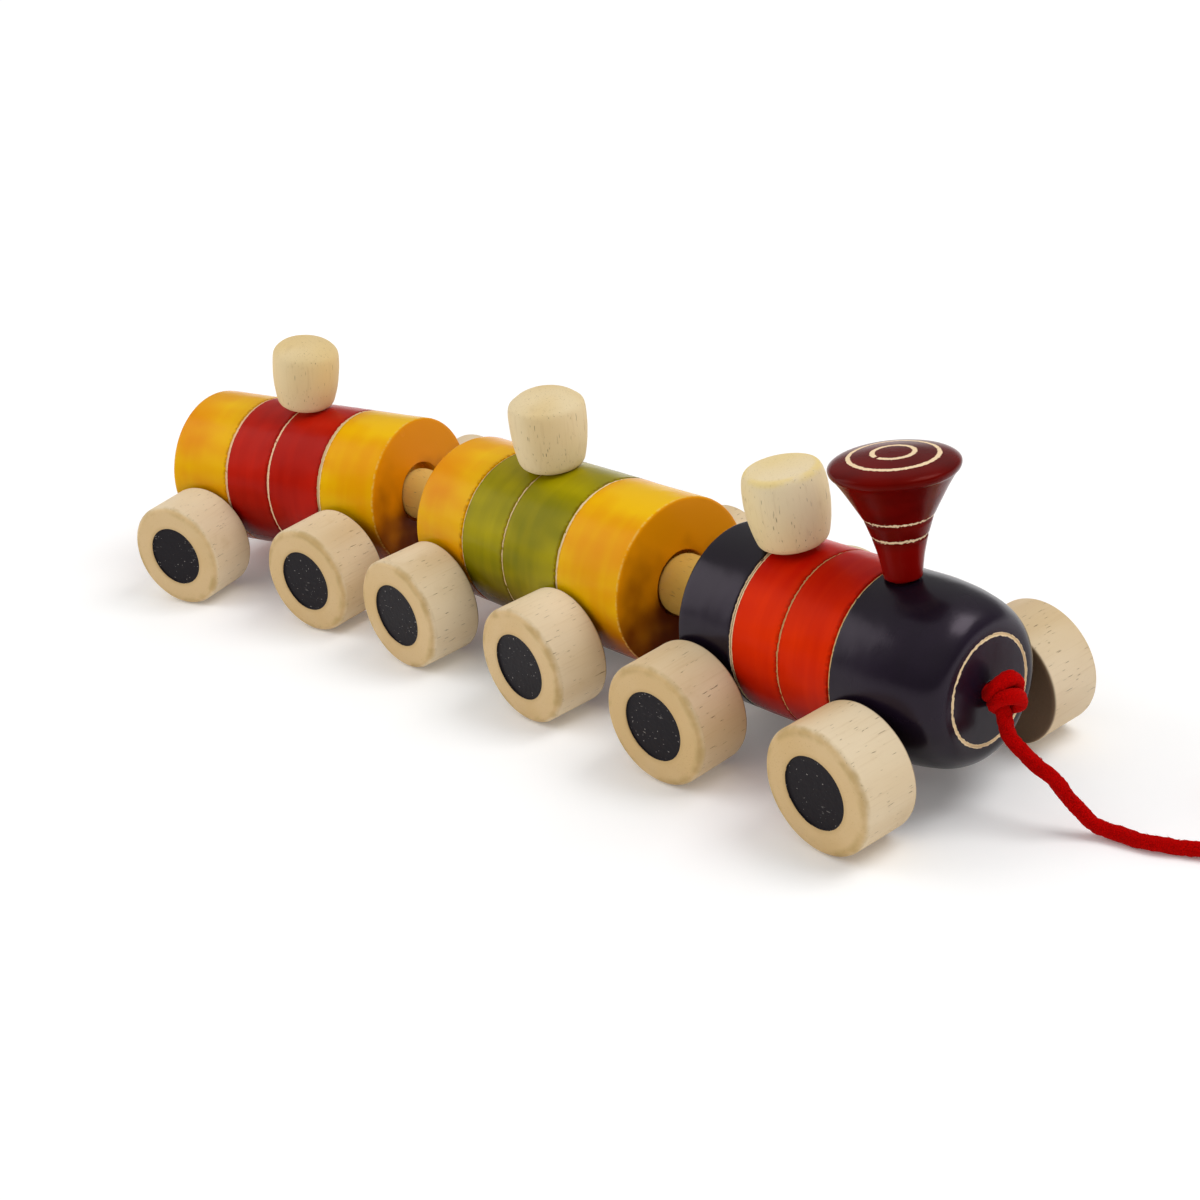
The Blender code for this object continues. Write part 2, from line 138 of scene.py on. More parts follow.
# Funnel: its profile from the top down, in stretches of (radius, height) in mm, each with the number of parts
# that a span is cut into
FUNNEL_X = 64.2 * MM
FUNNEL_TURN = (-2.4, -3.0)
FUNNEL_SQUAT = 0.975
FUNNEL_SIDES = 112
FUNNEL_PROFILE = (
    (((0.0, 36.5), (4.0, 36.35), (8.0, 36.0), (12.6, 35.25), (15.6, 34.5), (17.2, 33.6), (17.7, 32.7),
      (17.3, 31.4), (16.4, 30.4), (14.4, 27.2), (12.4, 23.6), (10.8, 20.6), (9.75, 18.6)), 5),
    (((9.1, 18.2), (9.0, 17.8)), 1),
    (((9.2, 17.4), (8.5, 15.2), (7.85, 13.3)), 3),
    (((7.35, 12.9), (7.2, 12.5)), 1),
    (((7.5, 12.1), (6.8, 9.4), (6.15, 6.6), (5.6, 3.2), (5.3, 0.6)), 4),
    (((5.0, 0.3), (3.6, 0.3)), 1),
)
FUNNEL_TENON = ((3.6 * MM, -9.0 * MM), (0.0, -9.0 * MM))

# The funnel's marks, as (radius or height, half width), and the gap where its inner ring's cut ends
FUNNEL_RINGS = ((5.6 * MM, 0.66 * MM), (12.0 * MM, 0.60 * MM))
FUNNEL_LINES = ((12.7 * MM, 0.42 * MM), (18.0 * MM, 0.38 * MM))
FUNNEL_RIM_HEIGHT = 34.2 * MM
RING_GAP_ANGLE = -1.75
RING_GAP_HALF = 0.10
RING_GAP_REACH = 9.0 * MM

# Couplers: their domed tips are (share of the radius, depth from the end in mm)
FRONT_COUPLER_RADIUS = 9.6 * MM
REAR_COUPLER_RADIUS = 8.8 * MM
COUPLER_TIP = ((0.5, 0.4), (0.72, 1.1), (0.89, 2.4), (0.98, 3.8), (1.0, 4.8))
COUPLER_END_GAP = 0.5 * MM
COUPLER_SIDES = 80

# Cord
CORD_RADIUS = 2.15 * MM
CORD_TWIST = 11.0 * MM
CORD_SIDES = 24
CORD_STEP = 0.75 * MM
KNOT_STEP = 0.6 * MM
INNER_CORD_STEP = 1.2 * MM
CURVE_PARTS = 8
CORD_HAIRS = 2400
KNOT_HAIRS = 900
FELT = ((900.0, 0.12), (320.0, 0.09))
KNOT_POINTS = 96
END_KNOT_WIDTH = 9.0 * MM
END_KNOT_TURNS = (("X", 70.0), ("Y", 25.0))
END_KNOT_LIFT = (0.0, 0.0, 1.6 * MM)
TAIL_KNOT_WIDTH = 10.6 * MM
TAIL_KNOT_TURNS = (("Z", 13.6), ("Y", 90.0))
NOSE_KNOT_AHEAD = 0.9 * MM

# The coil: its radii and heights, then where they change, in degrees of turning from its entry
COIL_CENTRE = Vector((249.0, 59.0, 0.0)) * MM
COIL_ENTRY = -66.0
COIL_OUTER = 25.75 * MM
COIL_INNER = 21.4 * MM
COIL_LOW = 2.2 * MM
COIL_HIGH = 6.5 * MM
COIL_ENTRY_SPREAD = 4.6 * MM
TAIL_RADIUS = 13.9 * MM
COIL_DEGREES = range(8, 1541, 6)
COIL_JOIN = (-10.0, 40.0)
COIL_INWARD = (360.0, 396.0)
COIL_OUTWARD = (720.0, 756.0)
COIL_INWARD_AGAIN = (1080.0, 1116.0)
COIL_CLIMB = (664.0, 712.0)
TAIL_INWARD = (1330.0, 1420.0)
TAIL_DROP = (1370.0, 1450.0)

# The free cord's route in metres, from the nose knot to the side of the coil
CORD_ROUTE = [
    (0.1792, 0.0078, 0.0345), (0.1814, 0.0066, 0.0318), (0.1829, 0.0067, 0.0256), (0.1846, 0.0070, 0.0226),
    (0.1902, 0.0069, 0.0190), (0.1966, 0.0074, 0.0154), (0.2016, 0.0092, 0.0086), (0.2064, 0.0106, 0.0040),
    (0.2124, 0.0122, 0.0024), (0.2227, 0.0139, 0.00225), (0.2334, 0.0184, 0.0022), (0.2470, 0.0245, 0.0022),
    (0.2607, 0.0306, 0.0022),
]

# The nose knot's turns in mm from the bore's mouth, with X out of the nose
NOSE_KNOT_ROUTE = (
    (-2.5, 0.0, 0.0), (1.2, -2.4, 0.6), (3.2, -2.6, 3.4), (4.6, 0.2, 4.9), (5.0, 3.2, 3.6), (4.4, 4.3, 0.4),
    (3.4, 3.2, -3.2), (2.2, 0.2, -3.9), (2.6, -2.6, -1.6), (5.4, -2.9, 1.0), (7.0, -0.6, 1.1),
    (7.0, 2.2, -0.9), (5.6, 3.0, -3.6), (3.0, 1.6, -4.4), (1.6, 0.0, -2.0),
)

# Colours, linear
WHITE = (1.0, 1.0, 1.0, 1.0)
CLEAR = (0.0, 0.0, 0.0, 0.0)
FLOOR_TONES = ((0.95, 0.95, 0.95, 1.0), (0.97, 0.97, 0.97, 1.0))
CREAM = (0.78, 0.60, 0.36, 1.0)
PALE_WOOD = (0.77, 0.63, 0.43, 1.0)
TAN_WOOD = (0.64, 0.47, 0.26, 1.0)
FACE_WOOD = (0.66, 0.43, 0.17, 1.0)
DOWEL_WOOD = (0.74, 0.49, 0.13, 1.0)
YELLOW_WOOD = (0.62, 0.37, 0.07, 1.0)
PEG_WOODS = ((0.79, 0.65, 0.42, 1.0), (0.78, 0.61, 0.30, 1.0))
KNOB_WOODS = ((0.78, 0.63, 0.38, 1.0), (0.74, 0.55, 0.26, 1.0))
GRAIN_BROWN = (0.50, 0.33, 0.16, 1.0)
STAIN_BROWN = (0.55, 0.38, 0.18, 1.0)
# Dark brown for the wood's pores, and for the painted shade on the wheels' backs
PORE_AND_SHADE_BROWN = (0.10, 0.050, 0.022, 1.0)
RIM_BROWN = (0.47, 0.31, 0.11, 1.0)
HUB_EDGE_BROWN = (0.45, 0.28, 0.10, 1.0)
HUB_BLACK = (0.008, 0.0055, 0.008, 1.0)
HUB_SCUFF = (0.50, 0.46, 0.42, 1.0)
CROWN_YELLOW = (0.80, 0.60, 0.17, 1.0)
# The bands' paired colours: the second of each pair (purple, orange-red, amber, lime, crimson) is that
# lacquer in painted light, shown on the upper side
BLACK_LACQUER = (0.0045, 0.0030, 0.0060, 1.0)
LIT_PURPLE_LACQUER = (0.011, 0.006, 0.015, 1.0)
BLACK_SHEEN = (1.0, 0.84, 1.0, 1.0)
DEEP_RED = (0.50, 0.002, 0.0002, 1.0)
LIT_ORANGE_RED = (0.88, 0.040, 0.0, 1.0)
LIT_AMBER = (0.84, 0.48, 0.0, 1.0)
ORANGE = (0.74, 0.25, 0.0, 1.0)
OLIVE = (0.12, 0.12, 0.0, 1.0)
LIT_LIME = (0.42, 0.34, 0.0, 1.0)
LIT_CRIMSON = (0.56, 0.012, 0.002, 1.0)
DARK_CRIMSON = (0.26, 0.003, 0.001, 1.0)
# A coach face's lacquer in painted shade low down, then in painted light near the top
FACE_SHADE_AND_LIGHT_LACQUERS = ((0.13, 0.020, 0.001, 1.0), (0.76, 0.27, 0.001, 1.0))
WORN_EDGE = (0.80, 0.56, 0.16, 1.0)
# Painted shade, multiplied into the lower side of each body
ENGINE_UNDERSIDE_SHADE = (0.45, 0.35, 0.35, 1.0)
GREEN_UNDERSIDE_SHADE = (0.42, 0.16, 0.10, 1.0)
RED_UNDERSIDE_SHADE = (0.50, 0.20, 0.14, 1.0)
SMUDGE = (0.62, 0.50, 0.45, 1.0)
SHEEN_GAIN = (2.2, 2.2, 2.2, 1.0)
FUNNEL_DARK = (0.085, 0.0012, 0.0006, 1.0)
FUNNEL_RED = (0.13, 0.0015, 0.0006, 1.0)
FUNNEL_BRIGHT = (0.19, 0.0015, 0.0006, 1.0)
FUNNEL_SHEEN = (1.0, 0.22, 0.16, 1.0)
FUNNEL_CUT = (0.86, 0.66, 0.42, 1.0)
CORD_RED = (0.60, 0.0006, 0.0004, 1.0)
CORD_MIDDLE = (0.36, 0.0, 0.0, 1.0)
CORD_DARK = (0.24, 0.0, 0.0, 1.0)
CORD_SHEEN = (1.0, 0.03, 0.02, 1.0)

# Turned lines: (place along the car, strokes from the rear as (width, colour))
SMUDGE_REACH = 1.1 * MM
ENGINE_LINES = (
    (20.8 * MM, ((0.40 * MM, CREAM), (0.55 * MM, (0.20, 0.11, 0.05, 1.0)), (0.45 * MM, CREAM))),
    (38.9 * MM, ((0.75 * MM, (0.62, 0.40, 0.18, 1.0)),)),
    (57.7 * MM, ((0.72 * MM, (0.62, 0.42, 0.17, 1.0)),)),
)
GREEN_LINES = (
    (24.4 * MM, ((1.0 * MM, CREAM),)),
    (45.3 * MM, ((0.95 * MM, CREAM),)),
    (71.5 * MM, ((0.45 * MM, CREAM), (0.5 * MM, TAN_WOOD), (0.25 * MM, CREAM))),
)
RED_LINES = (
    (26.3 * MM, ((1.0 * MM, (0.85, 0.58, 0.36, 1.0)),)),
    (46.3 * MM, ((1.2 * MM, (0.85, 0.60, 0.38, 1.0)),)),
    (69.9 * MM, ((0.7 * MM, TAN_WOOD), (0.8 * MM, CREAM))),
)


# ---------------------------------------------------------------- camera, floor and light


def add_object(name, data):
    made = bpy.data.objects.new(name, data)
    bpy.context.scene.collection.objects.link(made)
    return made


def add_camera():
    data = bpy.data.cameras.new("camera")
    data.lens = CAMERA_LENS
    data.sensor_width = CAMERA_SENSOR
    data.clip_start, data.clip_end = CAMERA_RANGE
    camera = add_object("camera", data)
    camera.location = CAMERA_PLACE
    camera.rotation_euler = [math.radians(angle) for angle in CAMERA_TURN]
    bpy.context.scene.camera = camera


def add_softbox(name, place, size, power):
    data = bpy.data.lights.new(name, "AREA")
    data.shape = "RECTANGLE"
    data.size, data.size_y = size
    data.energy = power
    lamp = add_object(name, data)
    lamp.location = place
    aim = Vector(SOFTBOX_TARGET) - Vector(place)
    lamp.rotation_euler = aim.to_track_quat("-Z", "Y").to_euler()


def add_sky():
    """A soft studio dome: bright overhead, dim lower down, and as pale as the floor where they meet."""
    world = bpy.data.worlds.new("studio")
    world.use_nodes = True
    tree = world.node_tree
    coords = tree.nodes.new("ShaderNodeTexCoord")
    split = tree.nodes.new("ShaderNodeSeparateXYZ")
    levels = tree.nodes.new("ShaderNodeValToRGB")
    elements = levels.color_ramp.elements
    elements.remove(elements[1])
    elements[0].position, elements[0].color = 0.0, [SKY_LEVELS[0][1]] * 3 + [1.0]
    for height, level in SKY_LEVELS[1:]:
        elements.new(height).color = [level] * 3 + [1.0]
    tree.links.new(coords.outputs["Generated"], split.inputs["Vector"])
    tree.links.new(split.outputs["Z"], levels.inputs["Fac"])
    tree.links.new(levels.outputs["Color"], tree.nodes["Background"].inputs["Color"])
    bpy.context.scene.world = world


def add_light():
    add_sky()
    for softbox in SOFTBOXES:
        add_softbox(*softbox)
    bpy.context.scene.view_settings.view_transform = "Standard"


def add_floor(material):
    mesh = bpy.data.meshes.new("floor")
    shape = bmesh.new()
    bmesh.ops.create_circle(shape, cap_ends=True, segments=FLOOR_SEGMENTS, radius=FLOOR_RADIUS)
    shape.to_mesh(mesh)
    shape.free()
    mesh.materials.append(material)
    floor = add_object("floor", mesh)


# ---------------------------------------------------------------- materials


class Recipe:
    """A material put together from nodes. Its coordinates are the piece's own, in metres."""

    def __init__(self, name, values):
        self.material = bpy.data.materials.new(name)
        self.material.use_nodes = True
        self.tree = self.material.node_tree
        self.shader = self.tree.nodes["Principled BSDF"]
        for slot, value in values.items():
            self.put(slot, value)
        self.place = self.node("ShaderNodeTexCoord").outputs["Object"]
        split = self.node("ShaderNodeSeparateXYZ", {"Vector": self.place})
        self.x, self.y, self.z = split.outputs

    def node(self, kind, inputs=None, **settings):
        made = self.tree.nodes.new(kind)
        for name, value in settings.items():
            setattr(made, name, value)
        for slot, value in (inputs or {}).items():
            self.feed(made.inputs[slot], value)
        return made

    def feed(self, socket, value):
        if isinstance(value, bpy.types.NodeSocket):
            self.tree.links.new(value, socket)
        else:
            socket.default_value = value

    def put(self, slot, value):
        self.feed(self.shader.inputs[slot], value)

    def calc(self, operation, one, two=0.0, clamp=False):
        return self.node("ShaderNodeMath", {0: one, 1: two}, operation=operation, use_clamp=clamp).outputs[0]

    def times(self, one, two):
        return self.calc("MULTIPLY", one, two)

    def plus(self, one, two, clamp=False):
        return self.calc("ADD", one, two, clamp)

    def minus(self, one, two):
        return self.calc("SUBTRACT", one, two)

    def near(self, value, place, half):
        """1 where the value is within half of place."""
        return self.calc("LESS_THAN", self.calc("ABSOLUTE", self.minus(value, place)), half)

    def wander(self, value, reach):
        """Noise from 0 to 1, made into a shift to either side."""
        return self.times(self.minus(value, 0.5), reach)

    def scaled(self, value, factor, offset):
        """value times factor plus offset."""
        inputs = {0: value, 1: factor, 2: offset}
        return self.node("ShaderNodeMath", inputs, operation="MULTIPLY_ADD").outputs[0]

    def mix(self, share, one, two, blend="MIX"):
        made = self.node("ShaderNodeMix", {0: share, 6: one, 7: two}, data_type="RGBA", blend_type=blend)
        return made.outputs[2]

    def own_place(self):
        """Coordinates that differ from piece to piece, so that no two have the same grain."""
        shift = self.node("ShaderNodeObjectInfo").outputs["Random"]
        return self.node("ShaderNodeVectorMath", {0: self.place, 1: shift}, operation="ADD").outputs[0]

    def noise(self, scale, stretch=(1.0, 1.0, 1.0), detail=3.0, place=None):
        """Noise from 0 to 1; scale is in features per metre along an axis with stretch 1."""
        vector = self.node("ShaderNodeVectorMath", {0: place or self.place, 1: stretch}, operation="MULTIPLY")
        inputs = {"Vector": vector.outputs[0], "Scale": scale, "Detail": detail}
        return self.node("ShaderNodeTexNoise", inputs).outputs["Fac"]

    def between(self, value, low, high):
        """0 below low, 1 above high, and smooth between them."""
        inputs = {"Value": value, "From Min": low, "From Max": high}
        return self.node("ShaderNodeMapRange", inputs, interpolation_type="SMOOTHSTEP").outputs["Result"]

    def bump(self, height, distance, strength=1.0, under=None):
        inputs = {"Height": height, "Distance": distance, "Strength": strength}
        if under is not None:
            inputs["Normal"] = under
        return self.node("ShaderNodeBump", inputs).outputs["Normal"]

    def ramp(self, value, stops, smooth=False):
        """Colours by place: stops are (place from 0 to 1, colour)."""
        made = self.node("ShaderNodeValToRGB", {"Fac": value})
        made.color_ramp.interpolation = "LINEAR" if smooth else "CONSTANT"
        elements = made.color_ramp.elements
        elements.remove(elements[1])
        elements[0].position, elements[0].color = stops[0]
        for place, colour in stops[1:]:
            elements.new(place).color = colour
        return made.outputs["Color"], made.outputs["Alpha"]


def distance(recipe, one, two):
    """The distance from the axis along which both coordinates are 0."""
    across = recipe.node("ShaderNodeCombineXYZ", {0: one, 1: two}).outputs[0]
    return recipe.node("ShaderNodeVectorMath", {0: across}, operation="LENGTH").outputs["Value"]


def wood_material(name, pale, tan, ringed=0.0, crown=None):
    """Bare turned wood, its grain along the piece's Z: short dashes on the side, pores on the ends.

    ringed is how worn a wheel's rim is, and gives a wheel its marks and the painted shade on its back; crown
    is (radius, height) for a peg with a worn top edge.
    """
    recipe = Recipe(name, {"Specular IOR Level": 0.25})
    place = recipe.own_place()
    broad = recipe.noise(38.0, (1.0, 1.0, 0.35), 2.0, place)
    grain = recipe.noise(1500.0, (1.0, 1.0, 0.045), 4.0, place)
    pores = recipe.noise(2600.0, (1.0, 1.0, 0.10), 1.0, place)
    smudge = recipe.noise(120.0, detail=4.0, place=place)
    colour = recipe.mix(recipe.between(broad, 0.32, 0.72), pale, tan)
    streak = recipe.times(recipe.between(grain, 0.52, 0.80), 0.24)
    colour = recipe.mix(streak, colour, GRAIN_BROWN)
    pit = recipe.between(pores, 0.70, 0.76)
    colour = recipe.mix(recipe.times(pit, 0.65), colour, PORE_AND_SHADE_BROWN)
    stain = recipe.times(recipe.between(smudge, 0.60, 0.82), 0.30)
    colour = recipe.mix(stain, colour, STAIN_BROWN)
    if ringed > 0.0:
        colour = worn_rim_and_back_shade(recipe, colour, ringed)
    if crown is not None:
        colour = worn_crown(recipe, colour, *crown)
    recipe.put("Base Color", colour)
    recipe.put("Roughness", recipe.scaled(grain, 0.25, 0.45))
    fibres = recipe.bump(grain, 0.10 * MM, 0.5)
    recipe.put("Normal", recipe.bump(recipe.minus(1.0, pit), 0.25 * MM, 0.7, fibres))
    return recipe.material


def worn_rim_and_back_shade(recipe, colour, strength):
    """A wheel's handled edge: a patchy brown ring near the chamfer and brown at the hub, with painted shade
    making the back, which faces the body, dark.
    """
    radius = distance(recipe, recipe.x, recipe.y)
    face = recipe.between(recipe.z, WHEEL_WIDTH - 1.3 * MM, WHEEL_WIDTH - 0.3 * MM)
    colour = recipe.mix(recipe.times(face, 0.68), colour, FACE_WOOD)
    # Painted shade on the wheel's back, the face turned to the body
    painted_back_shade = recipe.times(recipe.between(recipe.z, 1.0 * MM, 0.2 * MM), 0.94)
    colour = recipe.mix(painted_back_shade, colour, PORE_AND_SHADE_BROWN)
    rim = recipe.times(recipe.between(radius, 15.6 * MM, 17.3 * MM),
                       recipe.between(recipe.z, WHEEL_WIDTH - 2.2 * MM, WHEEL_WIDTH - 0.9 * MM))
    patches = recipe.between(recipe.noise(160.0, detail=4.0, place=recipe.own_place()), 0.36, 0.70)
    colour = recipe.mix(recipe.times(recipe.times(rim, patches), strength), colour, RIM_BROWN)
    hub = recipe.times(recipe.between(radius, 12.4 * MM, 10.7 * MM),
                       recipe.between(recipe.z, WHEEL_WIDTH - 1.0 * MM, WHEEL_WIDTH - 0.2 * MM))
    return recipe.mix(recipe.times(hub, 0.35), colour, HUB_EDGE_BROWN)


def worn_crown(recipe, colour, radius, height):
    """A peg's handled top edge: a broken yellow ring."""
    out = distance(recipe, recipe.x, recipe.y)
    ring = recipe.times(recipe.between(out, 0.73 * radius, 0.86 * radius),
                        recipe.between(recipe.z, height - 2.6 * MM, height - 0.8 * MM))
    broken = recipe.between(recipe.noise(130.0), 0.34, 0.58)
    return recipe.mix(recipe.times(recipe.times(ring, broken), 0.55), colour, CROWN_YELLOW)


def hub_material():
    """Black paint rubbed onto the hub, with pale specks and scuffs where the wood shows."""
    recipe = Recipe("hub_paint", {"Roughness": 0.38, "Specular IOR Level": 0.10})
    place = recipe.own_place()
    specks = recipe.between(recipe.noise(1100.0, detail=2.0, place=place), 0.69, 0.73)
    scuffs = recipe.noise(420.0, (1.0, 3.0, 1.0), 5.0, place)
    wear = recipe.between(recipe.noise(90.0, detail=2.0, place=place), 0.55, 0.75)
    scuffed = recipe.times(recipe.between(scuffs, 0.60, 0.70), wear)
    share = recipe.plus(recipe.times(specks, 0.55), recipe.times(scuffed, 0.45), True)
    recipe.put("Base Color", recipe.mix(share, HUB_BLACK, HUB_SCUFF))
    recipe.put("Normal", recipe.bump(recipe.noise(700.0, detail=4.0, place=place), 0.15 * MM, 0.5))
    return recipe.material


def line_width(strokes):
    return sum(width for width, _ in strokes)


def line_stops(lines, length):
    """Ramp stops for the strokes of each turned line, centred on its place, and clear between the lines."""
    stops = [(0.0, CLEAR)]
    for place, strokes in lines:
        edge = place - 0.5 * line_width(strokes)
        for width, colour in strokes:
            stops.append((edge / length, colour))
            edge += width
        stops.append((edge / length, CLEAR))
    return stops


def smudge_stops(lines, length):
    """Ramp stops that darken the lacquer beside each turned line."""
    stops = [(0.0, WHITE)]
    for place, strokes in lines:
        half = 0.5 * line_width(strokes)
        for reach, colour in ((-half - SMUDGE_REACH, WHITE), (-half, SMUDGE), (half, SMUDGE),
                              (half + SMUDGE_REACH, WHITE)):
            stops.append(((place + reach) / length, colour))
    return stops


def face_colour(recipe, colour, length, height, cloud, waver):
    """A coach's front face in its own lacquer with painted light, dark low down and bright near the top, and
    its edge worn to yellow.
    """
    on_face = recipe.between(recipe.x, length - 0.8 * MM, length - 0.1 * MM)
    # Painted light and shade: dark low on the face, bright higher up, across a mottled border
    face_light_and_mottle = recipe.between(recipe.plus(height, recipe.times(cloud, 2.6)), 0.50, 1.70)
    colour = recipe.mix(on_face, colour, recipe.mix(face_light_and_mottle, *FACE_SHADE_AND_LIGHT_LACQUERS))
    edge = recipe.times(recipe.between(recipe.x, length - 1.3 * MM, length - 0.8 * MM),
                        recipe.between(recipe.x, length - 0.15 * MM, length - 0.5 * MM))
    worn = recipe.times(edge, recipe.between(waver, 0.38, 0.60))
    return recipe.mix(recipe.times(worn, 0.45), colour, WORN_EDGE)


def lacquer_material(name, length, lines, ends, middle, underside_shade, sheen=None):
    """Lacquer put on in the lathe: bands along X, bare wood in the turned lines between them.

    ends and middle are (colour, lit colour, mottle contrast): the lit colour is painted light, shown in the
    mottle only on the upper side.
    The colour after them is a painted shade that darkens the underside.
    sheen tints the reflections on the engine's black ends. Without it the body is a coach.
    """
    engine = sheen is not None
    recipe = Recipe(name, {"Coat Weight": 0.02, "Coat Roughness": 0.12})
    waver = recipe.noise(900.0, (0.6, 1.0, 1.0))
    along = recipe.calc("DIVIDE", recipe.plus(recipe.x, recipe.wander(waver, 0.45 * MM)), length)
    brushed = recipe.noise(24.0, (9.0, 1.0, 1.0), 4.0)
    cloud = recipe.noise(46.0, (0.55, 1.0, 1.0), 2.5)
    height = recipe.calc("DIVIDE", recipe.minus(recipe.z, AXIS_HEIGHT), ENGINE_RADIUS)
    # Painted light: the bands' second colours show only on the upper part, and on the engine not on its very
    # top either
    lit = recipe.between(height, -0.75, 0.10)
    if engine:
        lit = recipe.times(lit, recipe.between(height, 1.05, 0.62))
    colours = []
    for one, two, contrast in (ends, middle):
        share = recipe.scaled(recipe.between(cloud, 0.30, 0.70), contrast, 0.5 - 0.5 * contrast)
        share = recipe.plus(recipe.times(share, lit), recipe.scaled(along, 0.24, -0.06))
        streaks = recipe.times(recipe.between(brushed, 0.40, 0.72), 0.16)
        colours.append(recipe.mix(recipe.plus(share, streaks, True), one, two))
    band = recipe.times(recipe.calc("GREATER_THAN", along, lines[0][0] / length),
                        recipe.calc("LESS_THAN", along, lines[-1][0] / length))
    colour = recipe.mix(band, *colours)
    # Painted shade: the lacquer is darkened towards the bottom, with a mottled edge
    under = recipe.times(recipe.between(recipe.scaled(cloud, 0.5, height), 0.42, -0.50), 0.95)
    colour = recipe.mix(under, colour, underside_shade, "MULTIPLY")
    if not engine:
        colour = face_colour(recipe, colour, length, height, cloud, waver)
    shade, _ = recipe.ramp(along, smudge_stops(lines, length), smooth=True)
    colour = recipe.mix(recipe.between(waver, 0.30, 0.62), colour, recipe.mix(1.0, colour, shade, "MULTIPLY"))
    line_colour, is_line = recipe.ramp(along, line_stops(lines, length))
    is_line = recipe.times(is_line, recipe.between(recipe.noise(520.0, detail=2.0), 0.26, 0.36))
    level, tint = 0.12, recipe.mix(1.0, colour, SHEEN_GAIN, "MULTIPLY")
    if engine:
        is_line = recipe.plus(is_line, nose_ring(recipe, waver), True)
        line_colour = recipe.mix(recipe.calc("GREATER_THAN", recipe.x, NOSE_START), line_colour, CREAM)
        level, tint = recipe.scaled(band, -0.18, 0.25), recipe.mix(band, sheen, tint)
    recipe.put("Base Color", recipe.mix(is_line, colour, line_colour))
    recipe.put("Specular IOR Level", level)
    recipe.put("Specular Tint", tint)
    recipe.put("Roughness", recipe.plus(recipe.times(is_line, 0.4), recipe.scaled(cloud, 0.12, 0.19)))
    tool_marks = recipe.bump(recipe.noise(260.0, (10.0, 1.0, 1.0)), 0.05 * MM, 0.35)
    dents = recipe.noise(150.0, detail=2.0)
    recipe.put("Normal", recipe.bump(dents, 0.25 * MM, 0.22, tool_marks))
    return recipe.material


def nose_ring(recipe, waver):
    """1 on the ring turned in the nose's flat face, with a rough edge."""
    radius = distance(recipe, recipe.y, recipe.minus(recipe.z, AXIS_HEIGHT))
    rough = recipe.plus(radius, recipe.wander(waver, 0.8 * MM))
    on_face = recipe.calc("GREATER_THAN", recipe.x, NOSE_FACE - 0.8 * MM)
    return recipe.times(recipe.near(rough, NOSE_RING_RADIUS, NOSE_RING_HALF), on_face)


def any_mark(recipe, value, marks):
    """Over 0 where the value is on one of the marks, which are (place, half width)."""
    total = 0.0
    for place, half in marks:
        total = recipe.plus(recipe.near(value, place, half), total)
    return total


def funnel_material():
    """Dark red lacquer with two rings on the domed top and two lines on the stem, by radius and height."""
    recipe = Recipe("funnel_lacquer", {"Specular IOR Level": 0.12, "Specular Tint": FUNNEL_SHEEN})
    waver = recipe.wander(recipe.noise(1700.0), 0.95 * MM)
    radius = recipe.plus(distance(recipe, recipe.x, recipe.y), waver)
    rise = recipe.plus(recipe.z, recipe.times(waver, 1.7))
    cloud = recipe.noise(60.0, (1.0, 1.0, 2.5))
    colour = recipe.mix(recipe.between(cloud, 0.30, 0.70), FUNNEL_DARK, FUNNEL_RED)
    colour = recipe.mix(recipe.between(recipe.z, 13.0 * MM, 9.0 * MM), colour, FUNNEL_BRIGHT)
    gap = recipe.times(recipe.near(recipe.calc("ARCTAN2", recipe.y, recipe.x), RING_GAP_ANGLE, RING_GAP_HALF),
                       recipe.calc("LESS_THAN", radius, RING_GAP_REACH))
    rings = recipe.times(any_mark(recipe, radius, FUNNEL_RINGS),
                         recipe.calc("GREATER_THAN", recipe.z, FUNNEL_RIM_HEIGHT))
    rings = recipe.times(rings, recipe.minus(1.0, gap))
    marks = recipe.plus(rings, any_mark(recipe, rise, FUNNEL_LINES), True)
    recipe.put("Base Color", recipe.mix(marks, colour, FUNNEL_CUT))
    recipe.put("Roughness", recipe.plus(recipe.times(marks, 0.4), 0.22))
    recipe.put("Normal", recipe.bump(recipe.noise(300.0, (1.0, 1.0, 8.0)), 0.06 * MM, 0.3))
    return recipe.material


def cord_material():
    """Felted red cotton: dark in the lay of the strands, with fine fibres along them."""
    recipe = Recipe("cord_cotton", {"Roughness": 0.92, "Specular IOR Level": 0.04, "Sheen Weight": 0.25,
                                    "Sheen Tint": CORD_SHEEN})
    fine = recipe.noise(3800.0)
    broad = recipe.noise(260.0, detail=2.0)
    colour = recipe.mix(recipe.between(fine, 0.34, 0.64), CORD_DARK, CORD_RED)
    recipe.put("Base Color", recipe.mix(recipe.times(broad, 0.35), colour, CORD_MIDDLE))
    recipe.put("Normal", recipe.bump(fine, 0.22 * MM, 0.9))
    return recipe.material


def floor_material():
    """Pale paper that glows more with distance, so that it stays white up to the horizon."""
    recipe = Recipe("floor_paper", {"Roughness": 0.9, "Specular IOR Level": 0.0, "Emission Color": WHITE})
    recipe.put("Base Color", recipe.mix(recipe.noise(3.0, detail=2.0), *FLOOR_TONES))
    away = recipe.between(distance(recipe, recipe.x, recipe.y), *FLOOR_GLOW_RISE)
    recipe.put("Emission Strength", recipe.scaled(away, FLOOR_GLOW_FAR - FLOOR_GLOW_NEAR, FLOOR_GLOW_NEAR))
    return recipe.material


# ---------------------------------------------------------------- shapes


